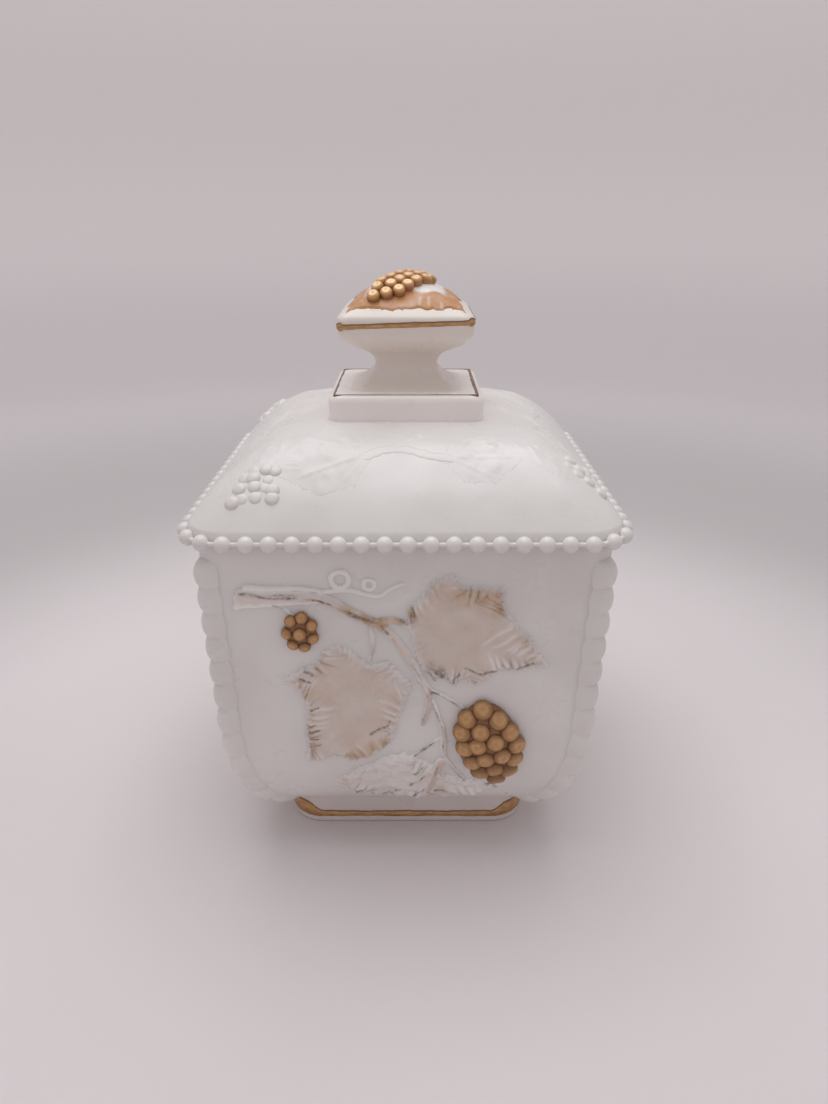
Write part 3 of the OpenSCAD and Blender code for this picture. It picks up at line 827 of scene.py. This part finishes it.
VINE_LINES = [
    ([(-36.6, 76), (-34.6, 75.8), (-30, 75), (-24, 75), (-19.1, 74.2), (-15.2, 72.6), (-12, 70.8),
      (-9, 69.6)], 0.3, 1.0),
    ([(-37, 76.2), (-33, 75.4), (-28, 75.8), (-22.5, 75.6)], 0.26, 0.55),
    ([(-9, 69.6), (-5.9, 68), (-4, 65.8)], 0.24, 0.8),
    ([(-3, 64.6), (1.4, 57.4)], 0.2, 0.3),
    ([(-9, 69.4), (-3, 69.6), (0.4, 68.4)], 0.26, 0.7),
    ([(1.2, 58), (3.6, 53.6), (6, 49.8)], 0.24, 0.7),
    ([(6, 50), (9, 48.4), (13.4, 45)], 0.22, 0.9),
    ([(6.2, 46.6), (8.6, 39.6), (9.5, 30.6), (14.8, 21.6)], 0.22, 0.85),
    ([(-29.6, 73), (-26.8, 71.6), (-25.2, 69.4)], 0.26, 1.0),
    ([(-7.8, 67), (-7.3, 62.6), (-8, 58.4)], 0.22, 0.75),
    ([(8, 36.4), (5, 33.6), (1.9, 30.9)], 0.25, 1.0),
    ([(4.9, 22.4), (3.4, 17.4), (1, 13.8)], 0.25, 0.8),
    ([(5, 49), (4.8, 44.6), (3.6, 40.8)], 0.2, 0.5),
    ([(8, 28.6), (6.6, 23), (5, 18)], 0.2, 0.5),
]

VINE_WASHES = [(-13, 71.4, 2.4, 0.7), (-9, 69.2, 2.6, 0.9), (-5.6, 68.6, 2.4, 0.9), (-2, 69, 2, 0.7)]


def vine():
    """The cut branch, the long main stem, its twigs and slim buds, with dark lines rubbed into them."""
    us, vs, lift, paint = strokes_relief(VINE_STROKES, 0.2, 0.9, VINE_LINES, VINE_WASHES)
    made = relief(us, vs, lift, panel_surface)
    on_four_sides("vine_branches", made, paint, "jar", "vine_enamel", "vine_branches", WASHED)


def circle(x, y, radius):
    a = np.linspace(0, 2 * math.pi, 25)
    return np.column_stack([x + radius * np.cos(a), y + radius * np.sin(a)])


def tendrils():
    """Two curled rings and a wavy tendril, left white."""
    us, vs, lift, _ = strokes_relief([
        (circle(-14.5, 79.2, 2.0), 0.62, 0.62),
        (circle(-8.1, 78, 1.25), 0.5, 0.5),
        ([(-18, 76.1), (-13, 76.6), (-9, 75.6), (-6, 75.1), (-3.4, 76.8), (-0.6, 78.2)], 0.6, 0.45),
    ], 0.15, 0.6)
    made = relief(us, vs, lift, panel_surface)
    on_four_sides("vine_tendrils", made, None, "jar", "opal_glass", "vine_tendrils", TENDRIL_WHITE)


def drupelet(centre, normal, radius, rise_part, dent, around=20):
    """One seed of a berry, a button with a dent in it: its points, faces, and paint of a painted highlight on
    its top and painted shade in its creases.
    """
    theta = np.radians(np.concatenate([np.arange(-75, 45, 15), np.arange(45, 90, 7.5), [90]]))
    rho = radius * np.abs(np.cos(theta)) ** 0.7
    rise = rise_part * radius * np.sign(theta) * np.abs(np.sin(theta)) ** 0.7
    dimple = np.exp(-(rho / (0.28 * radius)) ** 2) * (theta > 0)
    # Painted shade on the seed's underside and in its dent.
    crease_shade = np.maximum(step(rise, 0.96 * rise_part * radius, 0.4 * radius), 0.3 * dimple)
    # The seed's top is painted lighter: a painted highlight.
    lit_top = step(rho, 0.62 * radius, 0.42 * radius) * (theta > 0)
    rise = rise - dent * radius * dimple
    normal = np.asarray(normal, float) / np.linalg.norm(normal)
    across = np.cross(normal, (0, 0, 1) if abs(normal[2]) < 0.9 else (1, 0, 0))
    across /= np.linalg.norm(across)
    third = np.cross(normal, across)
    a = np.arange(around) * 2 * math.pi / around
    spokes = np.outer(np.cos(a), across) + np.outer(np.sin(a), third)
    points = np.vstack([centre + h * normal + r * spokes for r, h in zip(rho[:-1], rise[:-1])]
                       + [centre + rise[-1] * normal])
    tip = len(points) - 1
    faces = ring_faces(len(rho) - 1, around)
    faces += [[tip - around + i, tip - around + (i + 1) % around, tip] for i in range(around)]
    faces.append(list(range(around))[::-1])
    paint = np.stack([lit_top, 0 * crease_shade, crease_shade], axis=1)
    return points, faces, np.vstack([np.repeat(paint[:-1], around, axis=0), paint[-1:]])


def cushion(middle, tilt, half_width, half_length, depth, place, rings=9, around=40):
    """The closed egg-shaped cushion under a berry's drupelets, all of it painted in the crease shade."""
    u, v, lift = [0.0], [0.0], [depth]
    for k in range(1, rings + 1):
        slope = k / rings * math.pi / 2
        a = np.arange(around) * 2 * math.pi / around
        u += list(half_width * math.sin(slope) * np.cos(a))
        v += list(half_length * math.sin(slope) * np.sin(a))
        lift += [depth * math.cos(slope) - (SUNK if k == rings else 0)] * around
    u, v = np.array(u), np.array(v)
    c, s = math.cos(tilt), math.sin(tilt)
    points = place(middle[0] + c * u - s * v, middle[1] + s * u + c * v, np.array(lift))
    faces = disc_faces(rings, around)
    faces.append([1 + (rings - 1) * around + i for i in range(around)][::-1])
    return points, faces, np.tile((0.0, 0.0, 1.0), (len(points), 1))


def berry(spots, radius, place, middle, turn_out, base=(), rise_part=1.0, dent=0.14):
    """Drupelets at (u, v, lift) spots, turned outwards from the middle, on their base."""
    heart = place(*(np.array([k]) for k in (*middle, 0.0)))[0]
    parts = list(base)
    for u, v, lift in spots:
        here, above = (place(*(np.array([k]) for k in (u, v, lift + up)))[0] for up in (0.0, 1.0))
        normal = above - here
        sideways = here - heart
        sideways -= normal * (sideways @ normal)
        parts.append(drupelet(here, normal + turn_out * sideways, radius, rise_part, dent))
    points, faces = joined([p[:2] for p in parts])
    return points, faces, np.vstack([p[2] for p in parts])


# The large berry's drupelets, by x and height.
DRUPELETS = (
    (18, 46), (14.2, 43.4), (21.9, 43.4), (17.6, 40.4), (13, 39.6), (25, 40), (21.4, 37.6), (17, 36.4),
    (26.9, 36), (13.8, 35.2), (23.3, 33.4), (19, 32.4), (15.8, 31), (26.6, 31.6), (21.6, 28.8), (18, 27.4),
    (25.4, 27.6), (22.4, 24.8))


def on_each_panel(name, node, points, faces, paint):
    """The same gilded berry on each of the jar's four panels."""
    for quarter, side in enumerate(SIDES):
        piece(f"{name}_{side}", turned(points, quarter), faces, "jar", "gilded_relief", node, GILDED, paint)


def large_berries():
    x, z, half_width, half_length = 19.9, 35.0, 7.2, 11.8
    spots = []
    for u, v in DRUPELETS:
        u, v = x + 0.9 * (u - x), z + 0.93 * (v - z)
        spots.append((u, v, 2.3 - 1.4 * (((u - x) / half_width) ** 2 + ((v - z) / half_length) ** 2)))
    base = cushion((x, z), math.radians(11), 1.04 * half_width, 1.03 * half_length, 3.3, panel_surface)
    made = berry(spots, 2.5, panel_surface, (x, z), 0.08, [base], 0.85)
    on_each_panel("large_berry", "large_berries", *made)


def small_berries():
    """One drupelet in the middle of a ring of seven."""
    x, z = -23.9, 66.2
    ring = np.radians(np.arange(7) * 360 / 7 + 10)
    around = [(x + 2.8 * math.sin(a), z + 3.6 * math.cos(a), 0.4) for a in ring]
    base = cushion((x, z), 0, 3.7, 4.6, 1.5, panel_surface)
    parts = [berry([(x, z, 1.0)], 1.65, panel_surface, (x, z), 0.1, [base]),
             berry(around, 1.5, panel_surface, (x, z), 0.16)]
    points, faces = joined([part[:2] for part in parts])
    on_each_panel("small_berry", "small_berries", points, faces, np.vstack([part[2] for part in parts]))


# ---- the jar's glass

def bowl_glass():
    """The bowl, from the edge of the foot up over the lip and down its inside."""
    levels = []
    for phi in np.linspace(CURVE_END, 0, 30):
        half, z = curve_point(phi)
        levels.append((half, z, outer_corner(z), 0))
    levels += [(flare(z), z, JAR_CORNER, 0) for z in (58, 70, 80)]
    levels += [(JAR_HALF, JAR_TOP, JAR_CORNER, LIP), (JAR_HALF - WALL, JAR_TOP, JAR_CORNER - 1, LIP),
               (flare(60) - WALL, 60, JAR_CORNER - 1, 0)]
    for phi in np.linspace(0, math.radians(88), 24):
        levels.append((CURVE_X + (CURVE_A - WALL) * math.cos(phi) ** CURVE_POWER,
                       CURVE_TOP - (CURVE_B - WALL) * math.sin(phi) ** CURVE_POWER, JAR_CORNER, 0))
    piece("jar_bowl_glass", *loft(rounded(levels)), "jar", "opal_glass", "jar_bowl", THICK_OPAL)


def foot_glass():
    """The foot, with the shallow recess under it."""
    half, corner = FOOT_HALF - WALL, FOOT_CORNER - WALL / 2
    levels = [(half - 1, FOOT_RECESS, corner, 0), (half, FOOT_RECESS - 0.3, corner, 0),
              (half + 0.4, 0, corner, 0.6), (FOOT_HALF, 0, FOOT_CORNER, 0.9),
              (FOOT_HALF, FOOT_TOP, FOOT_CORNER, 1.0), (FOOT_HALF - 3, FOOT_TOP + 0.05, FOOT_CORNER, 0)]
    # The foot is in the darker copy of the glass, as painted shade.
    piece("jar_foot_glass", *loft(rounded(levels)), "jar", "opal_glass", "jar_foot", FOOT_SHADED_OPAL)


# ---- painted bands

def painted_band(half, radius, edges, proud):
    """A film round an upright rounded square. edges gives its lower and upper edge at points in plan."""
    outer = square_ring(half + proud, radius + proud, per_side=72)
    inner = square_ring(half - SUNK, radius - SUNK, per_side=72)
    bottom, top = edges(*outer.T)
    section = ((inner, bottom), (outer, bottom), (outer, top), (inner, top))
    return hoop([np.column_stack([ring, z]) for ring, z in section])


def brushed(x, y, seed):
    """The wander of a hand-painted edge, in millimetres."""
    return (0.07 * np.sin(0.31 * x + 0.27 * y + seed) + 0.05 * np.sin(0.9 * x - 0.8 * y + 2 * seed)
            + 0.03 * np.sin(2.1 * x + 1.7 * y + seed))


def in_corner(x, y, half, width):
    """1 in the corners of a square in plan, 0 along its sides."""
    return step(np.minimum(np.abs(x), np.abs(y)), half - width, half - 0.5 * width)


def foot_band_edges(x, y):
    """The band round the foot, which is broader at the corners."""
    bottom, top = low("foot_gold_band").z, high("foot_gold_band").z
    corner = in_corner(x, y, FOOT_HALF, 9)
    return bottom + 0.3 + brushed(x, y, 1), top - 0.55 + 2.6 * corner + brushed(x, y, 4)


def foot_line_edges(x, y):
    """The dark line along the band's upper edge: painted shade under the bowl's overhang."""
    _, top = foot_band_edges(x, y)
    return top - 0.05, top + 0.38


def knob_band_edges(x, y):
    """The band round the knob: a slightly slanting line, with taller caps on the corners."""
    middle = (low("knob_gold_band").z + high("knob_gold_band").z) / 2 + 0.034 * x
    height = 0.56 + 0.4 * step(np.minimum(np.abs(x), np.abs(y)), KNOB_HALF - 1.5, KNOB_HALF - 1.1)
    return middle - height + 0.5 * brushed(x, y, 2), middle + height + 0.5 * brushed(x, y, 6)


def knob_line_edges(x, y):
    _, top = knob_band_edges(x, y)
    return top - 0.22, top + 0.06


def bands():
    """The gold bands round the foot and the knob, each with a dark line along its top; the foot's is painted
    shade.
    """
    foot = ("foot_gold_band", "jar", FOOT_HALF, FOOT_CORNER)
    knob_rim = ("knob_gold_band", "lid", KNOB_HALF, KNOB_CORNER)
    for (node, body, half, radius), part, edges, material, proud in (
            (foot, "paint", foot_band_edges, GOLD_LINE, FILM),
            # The foot's dark line is painted shade under the bowl's overhang.
            (foot, "edge", foot_line_edges, DARK_LINE, FILM - 0.02),
            (knob_rim, "paint", knob_band_edges, GOLD_LINE, FILM - 0.03),
            (knob_rim, "edge", knob_line_edges, DARK_LINE, FILM)):
        made = painted_band(half, radius, edges, proud)
        piece(f"{node}_{part}", *made, body, "gold_line", node, material)


def plinth_line():
    """The thin brown line round the plinth's top, thicker on its right side."""
    half = PLINTH_HALF - 1.3
    wide = square_ring(half, 0.6, per_side=84)
    thick = 0.42 + 0.35 * step(wide[:, 0], PLINTH_HALF - 3, PLINTH_HALF - 2) + brushed(*wide.T, 3)
    narrow = wide * (1 - thick / half)[:, None]
    section = ((wide, -SUNK), (wide, FILM / 2), (narrow, FILM / 2), (narrow, -SUNK))
    made = hoop([at_height(ring, PLINTH_TOP + z) for ring, z in section])
    piece("plinth_gold_line_paint", *made, "lid", "gold_line", "plinth_gold_line", BROWN_LINE)


# ---- corner beads

def corner_path():
    """Distances down the jar's corner path, and the heights there, from above the top bead to the foot."""
    z = np.linspace(CORNER_BEAD_HEIGHTS[0] + 3.4, FOOT_TOP + 0.05, 600)
    line = panel_surface(np.zeros(len(z)), z, np.zeros(len(z)))
    return np.concatenate([[0], np.cumsum(np.linalg.norm(np.diff(line, axis=0), axis=1))]), z


def corner_surface(across, down, lift):
    """Points on the jar's front right corner, across it and down its path in millimetres, lifted off it."""
    z = np.interp(down, *corner_path())
    flat, lifted = (panel_surface(np.zeros(len(z)), z, np.full(len(z), up)) for up in (0.0, 1.0))
    slope = lifted - flat
    corner = np.array([outer_corner(k) for k in z])
    angle = across / corner
    radius = corner - lift * slope[:, 1]
    inner = -flat[:, 1] - corner
    diagonal = angle - math.pi / 4
    return np.column_stack([inner + radius * np.cos(diagonal), -inner + radius * np.sin(diagonal),
                            flat[:, 2] + lift * slope[:, 2]])


def corner_beads():
    """A column of beads down each corner, fused with each other and with the glass."""
    down, heights = corner_path()
    centres = np.interp(-np.array(CORNER_BEAD_HEIGHTS, float), -heights, down)
    ends = [centres[0] - 3.3, *centres, centres[-1] + 3]
    us, vs = np.arange(-4.4, 4.41, 0.22), np.arange(0, down[-1], 0.22)
    number = np.interp(vs, ends, [-0.5, *range(len(centres)), len(centres) - 0.5])
    past = (number < 0) | (number > len(centres) - 1)
    swell = np.sqrt(np.clip(1 - (2 * (number - np.round(number)) * np.where(past, 1, 0.92)) ** 2, 0, 1))
    height = np.where(past, CORNER_BEAD_R * swell, 1.0 + (CORNER_BEAD_R - 1.0) * swell)
    width = 3.6 + 0.8 * swell
    bump = np.cos(np.clip(us[None, :] / width[:, None], -1, 1) * math.pi / 2) ** 1.9
    lift = (height + 0.3)[:, None] * bump - 0.3
    points, faces, _ = relief(us, vs, lift, corner_surface)
    for quarter, corner in enumerate(("front_right", "back_right", "back_left", "front_left")):
        placed = turned(points, quarter)
        piece(f"corner_beads_{corner}", placed, faces, "jar", "opal_glass", "corner_beads", OPAL)


# ---- the lid's glass

def lid_glass():
    """The flange and the dome, hollow underneath."""
    ceiling = DOME_TOP - WALL
    inside = bezier([(14, ceiling), (29, ceiling), (SEAT_INNER - 1, ceiling - 6), (SEAT_INNER, JAR_TOP + 2)],
                    np.linspace(0, 1, 16))
    levels = [(h, z, 5, 0) for h, z in inside]
    levels += [(SEAT_INNER, JAR_TOP, 5, 0), (FLANGE_HALF, JAR_TOP, LID_CORNER, 0.8)]
    levels += [(h, z, r, 0) for (h, z), r in zip(DOME_CURVE[::2], DOME_CORNERS[::2])]
    piece("lid_dome_glass", *loft(rounded(levels)), "lid", "opal_glass", "lid_dome", OPAL)


def seat_ring():
    """The ring under the lid that drops into the jar's mouth, with its lower edges taken off."""
    top, edge = JAR_TOP - 0.01, 0.5
    section = ((SEAT_HALF, top, 5.5), (SEAT_HALF, SEAT_BOTTOM + edge, 5.5),
               (SEAT_HALF - edge, SEAT_BOTTOM, 5.2), (SEAT_INNER + edge, SEAT_BOTTOM, 5.2),
               (SEAT_INNER, SEAT_BOTTOM + edge, 5.0), (SEAT_INNER, top, 5.0))
    made = hoop([at_height(square_ring(h, r), z) for h, z, r in section])
    piece("lid_seat_ring_glass", *made, "lid", "opal_glass", "lid_seat_ring", OPAL)


def rim_beads():
    """The string of beads round the lid's rim."""
    ring = square_ring(LID_HALF, LID_CORNER, per_corner=40, per_side=60)
    front = next(i for i in range(len(ring)) if abs(ring[i, 0]) < 1 and ring[i, 1] < 0)
    ring = np.roll(ring, -front, axis=0)
    ring[0, 0] = RIM_START
    points = at_height(np.vstack([ring, ring[:1]]), RIM_BEAD_Z)
    corner = np.clip(np.abs(points[:, :2]) - (LID_HALF - LID_CORNER), 0, None) * np.sign(points[:, :2])
    outward = np.column_stack([corner, np.zeros(len(corner))])
    made, faces = bead_string(points, outward, RIM_BEADS, RIM_BEAD_R, 0.55)
    piece("lid_rim_beads_glass", made, faces, "lid", "opal_glass", "lid_rim_beads", OPAL)


# The leaves on a side of the dome, in plan.
LID_LEAVES = {
    "left": dict(
        outline=[(-7, -34), (-11, -41), (-19, -42.8), (-25, -40.4), (-30, -38), (-27, -33), (-25, -26),
                 (-17, -27.4), (-10, -24), (-9, -29)],
        stalk=(-8, -33.4), tips=[(-13, -40), (-24, -39.6), (-24, -27.4), (-11, -25)], seed=11),
    "middle": dict(
        outline=[(-4, -29), (-8, -25), (-4, -22), (3, -22.4), (7, -26), (4, -30.4)],
        stalk=(4.6, -29.6), tips=[(-6.4, -25.4), (2, -23), (-3, -28.6)], seed=19),
    "right": dict(
        outline=[(8.6, -36), (13, -40.4), (20, -40.6), (26, -35), (23, -28), (15, -25.4), (10, -29.6)],
        stalk=(9.4, -34.6), tips=[(19, -39.2), (24.8, -34.4), (15.4, -26.6)], seed=13),
    "hip": dict(
        outline=[(26, -27), (25, -32), (29, -37), (35, -39.4), (38.6, -38.6), (36, -33), (33, -27.6),
                 (29, -24.4)],
        stalk=(27, -28), tips=[(30, -36), (37.4, -37.6), (32.6, -28)], seed=23),
}

LID_VINE = ([(-9.4, -34.4), (-5, -32.4), (0, -32.2), (5, -33.8), (9.6, -34.8)], 1.2, 1.1)


def lid_leaves():
    """Low white leaves and a vine on each side of the dome, softened by fire polish."""
    soft_leaf = dict(thick=0.2, spacing=1.7, reach=0.2, soft=4, folds=0.09, groove_depth=0.1,
                     grid_step=0.26)
    reliefs = {f"lid_leaf_{name}": leaf(**soft_leaf, **design) for name, design in LID_LEAVES.items()}
    reliefs["lid_vine"] = strokes_relief([LID_VINE], 0.2, 0.15)
    for name, (us, vs, lift, _) in reliefs.items():
        on_four_sides(name, relief(us, vs, lift, dome_surface), None, "lid", "opal_glass", "lid_leaves", OPAL)


def lid_grapes():
    """A loose cluster of grapes on each side of the dome, in four rows."""
    spots = []
    for r in range(4):
        for i in range(4 - r // 2):
            half = bezier(DOME_LINE, (3 + r) / 12)[0]
            spots.append((-37.4 + 2.7 * i + 1.1 * r + 0.8 * math.sin(5 * i + 3 * r),
                          -half + 0.7 * math.sin(7 * i + r), -1.35 + 0.3 * math.cos(4 * i + r)))
    points, faces, _ = berry(spots, 1.85, dome_surface, (-32.5, -41), 0.0, dent=0)
    for quarter, side in enumerate(SIDES):
        placed = turned(points, quarter)
        piece(f"lid_grapes_{side}", placed, faces, "lid", "opal_glass", "lid_berries", OPAL)


# ---- the finial

def plinth():
    levels = [(PLINTH_HALF - 0.2, DOME_TOP - 0.3, 3.2, 0), (PLINTH_HALF, DOME_TOP, 3.2, 0.3),
              (PLINTH_HALF, PLINTH_TOP, 3.2, 1.9), (PLINTH_HALF - 4, PLINTH_TOP, 2.4, 0)]
    piece("finial_plinth_glass", *loft(rounded(levels)), "lid", "opal_glass", "finial_plinth", PLINTH_LIT_OPAL)


def knob():
    """The waisted neck, the knob's square edge and its crown."""
    waist = bezier([(NECK_HALF + 8, -0.4), (NECK_HALF + 2.4, 0.45), (NECK_HALF, 3), (NECK_HALF, 6)],
                   np.linspace(0, 1, 20))
    under = bezier([(NECK_HALF + 0.5, 7.2), (NECK_HALF + 2, 10), (KNOB_HALF - 0.6, 9.6), (KNOB_HALF, 14.6)],
                   np.linspace(0, 1, 18))
    levels = [(h, PLINTH_TOP + z, 1.6 + 0.13 * h, 0) for h, z in np.vstack([waist, under])]
    levels += [(KNOB_HALF, KNOB_RIM, KNOB_CORNER, 0.9), (KNOB_HALF - 1.6, KNOB_RIM + 1.3, 3, 0.9)]
    levels += [(h, z, r, 0) for (h, z), r in zip(CROWN_CURVE[2::2], CROWN_CORNERS[2::2])]
    made = loft(rounded(levels), per_side=12)
    piece("finial_knob_glass", *made, "lid", "opal_glass", "finial_knob", WARM_OPAL)


def knob_leaf():
    """The leaf over the knob's top, washed outside its pale middle."""
    us, vs, lift, _ = leaf(
        outline=[(-13.6, -9), (-13.6, -13.8), (-8, -13.7), (-3, -14.2), (2, -13.7), (7, -14), (13.6, -13.8),
                 (12.4, -4), (13.8, 4), (10.4, 13.4), (1, 12.6), (-7, 13.6), (-13.4, 8), (-12.4, 0)],
        stalk=(0.6, 0),
        tips=[(-12, -12), (-3, -13), (6, -13), (12.6, -12.6), (12.6, 3), (9.4, 12.4), (-6, 12.4), (-12.4, 7)],
        thick=0.34, spacing=2.2, reach=0.2, soft=0.5, folds=0.02, groove_depth=0.12, grid_step=0.2, seed=17)
    u, v = np.meshgrid(us, vs)
    out = np.maximum(np.abs(u), np.abs(v)) + 0.5 * ripple(u, v, 5, 3)
    scratches = step(ripple(u, 0.2 * v, 1.6, 6), 0.5, 0.9) * step(ripple(u, v, 5, 7), -0.1, 0.4)
    wash = step(out, 8.2, 9.6) * (1 - 0.3 * scratches)
    points, faces, where = relief(us, vs, lift * 0.7, crown_surface)
    colours = np.stack([wash, 0 * wash, np.full(wash.shape, 0.1)], axis=-1).reshape(-1, 3)[where]
    piece("knob_leaf_relief", points, faces, "lid", "tan_wash", "knob_leaf", PEACH_WASHED, colours)


def knob_berry():
    """Rows of gilded drupelets that lie aslant over the crown."""
    rows, pitch, slant = (1, 2, 3, 3, 3, 3, 2), 2.75, math.radians(43)
    spots = []
    for r, count in enumerate(rows):
        for i in range(count):
            along, across = -13 + pitch * r, -2.9 + (i - (count - 1) / 2) * pitch
            spots.append((math.cos(slant) * along - math.sin(slant) * across,
                          math.sin(slant) * along + math.cos(slant) * across, 0.62))
    points, faces, paint = berry(spots, 1.6, crown_surface, (-1.4, -5.6), 0.03)
    piece("knob_berry_relief", points, faces, "lid", "gilded_relief", "knob_berry", LIT_GILDED, paint)


# ---- stage, light and camera

def studio_paper():
    """Pale paper, a little darker round the object as painted shade and lighter up the backdrop as painted
    light.
    """
    shader = Shader("studio_paper", Roughness=0.75, IOR=1.4)
    fibre = shader.noise(1.5, 5)
    cloud = shader.spread(shader.noise(160, 2), 0.3, 0.7)
    colour = shader.mix(cloud, (0.745, 0.693, 0.698, 1), (0.785, 0.728, 0.733, 1))
    out = shader.distance_out()
    # Painted shade: darker in a ring round the object, then lighter again further out.
    colour = shader.mix(shader.spread(out, 0.12, 0.27), colour, (0.55, 0.51, 0.515, 1))
    colour = shader.mix(shader.spread(out, 0.3, 0.56), colour, (0.70, 0.65, 0.655, 1))
    # Painted light: lighter up the backdrop.
    colour = shader.mix(shader.spread(shader.height(), 0.01, 0.14), colour, (0.82, 0.765, 0.77, 1))
    colour = shader.mix(shader.spread(shader.height(), 0.2, 0.5), colour, (0.92, 0.86, 0.865, 1))
    return shader.finish(colour, shader.spread(fibre, 0.3, 0.7, 0.7, 0.85), shader.bump(fibre, 0.02))


def studio():
    """A pale floor that curves up into a backdrop all round, far enough out for any view."""
    flat, bend, wall, around = 620.0, 300.0, 560.0, 128
    profile = [(r, 0.0) for r in np.linspace(40, flat, 12)]
    for a in np.linspace(0, math.pi / 2, 16)[1:]:
        profile.append((flat + bend * math.sin(a), bend - bend * math.cos(a)))
    profile.append((flat + bend, wall))
    a = np.arange(around) * 2 * math.pi / around
    circle_plan = np.column_stack([np.cos(a), np.sin(a)])
    points = [np.zeros((1, 3))] + [at_height(r * circle_plan, z) for r, z in profile]
    mesh = bpy.data.meshes.new("studio_floor")
    mesh.from_pydata((np.vstack(points) * MM).tolist(), [], disc_faces(len(profile), around))
    mesh.polygons.foreach_set("use_smooth", [True] * len(mesh.polygons))
    mesh.materials.append(studio_paper())
    floor = bpy.data.objects.new("studio_floor", mesh)
    bpy.context.scene.collection.objects.link(floor)


# Where the light and the camera stand, in metres from the frame's origin. The tilt is in degrees.
SOFTBOX_PLACE = (-0.04, 0.10, 0.80)
SOFTBOX_AIM = (0, 0, 0.07)
SOFTBOX_SIZE = 0.75
SOFTBOX_POWER = 2.8
ROOM_COLOUR = (0.97, 0.98, 1.0, 1)
ROOM_STRENGTH = 0.51
CAMERA_PLACE = (0.0019, -0.2132, 0.155)
CAMERA_TILT = 67.5
CAMERA_LENS = 27.07


def light():
    data = bpy.data.lights.new("overhead_softbox", "AREA")
    data.shape, data.size, data.energy = "DISK", SOFTBOX_SIZE, SOFTBOX_POWER
    lamp = bpy.data.objects.new("overhead_softbox", data)
    lamp.location = SOFTBOX_PLACE
    lamp.rotation_euler = (Vector(SOFTBOX_AIM) - Vector(SOFTBOX_PLACE)).to_track_quat("-Z", "Y").to_euler()
    bpy.context.scene.collection.objects.link(lamp)
    world = bpy.data.worlds.new("soft_room")
    world.use_nodes = True
    background = world.node_tree.nodes["Background"]
    background.inputs["Color"].default_value = ROOM_COLOUR
    background.inputs["Strength"].default_value = ROOM_STRENGTH
    bpy.context.scene.world = world
    bpy.context.scene.view_settings.view_transform = "Standard"


def camera():
    data = bpy.data.cameras.new("camera")
    data.lens = CAMERA_LENS
    data.clip_start = 0.01
    shot = bpy.data.objects.new("camera", data)
    shot.location = CAMERA_PLACE
    shot.rotation_euler = (math.radians(CAMERA_TILT), 0, 0)
    bpy.context.scene.collection.objects.link(shot)
    bpy.context.scene.camera = shot


# ---- build

bowl_glass()
foot_glass()
corner_beads()
vine()
tendrils()
leaves_on_jar()
small_berries()
large_berries()
lid_glass()
seat_ring()
rim_beads()
lid_leaves()
lid_grapes()
plinth()
knob()
bands()
plinth_line()
knob_leaf()
knob_berry()
studio()
light()
camera()
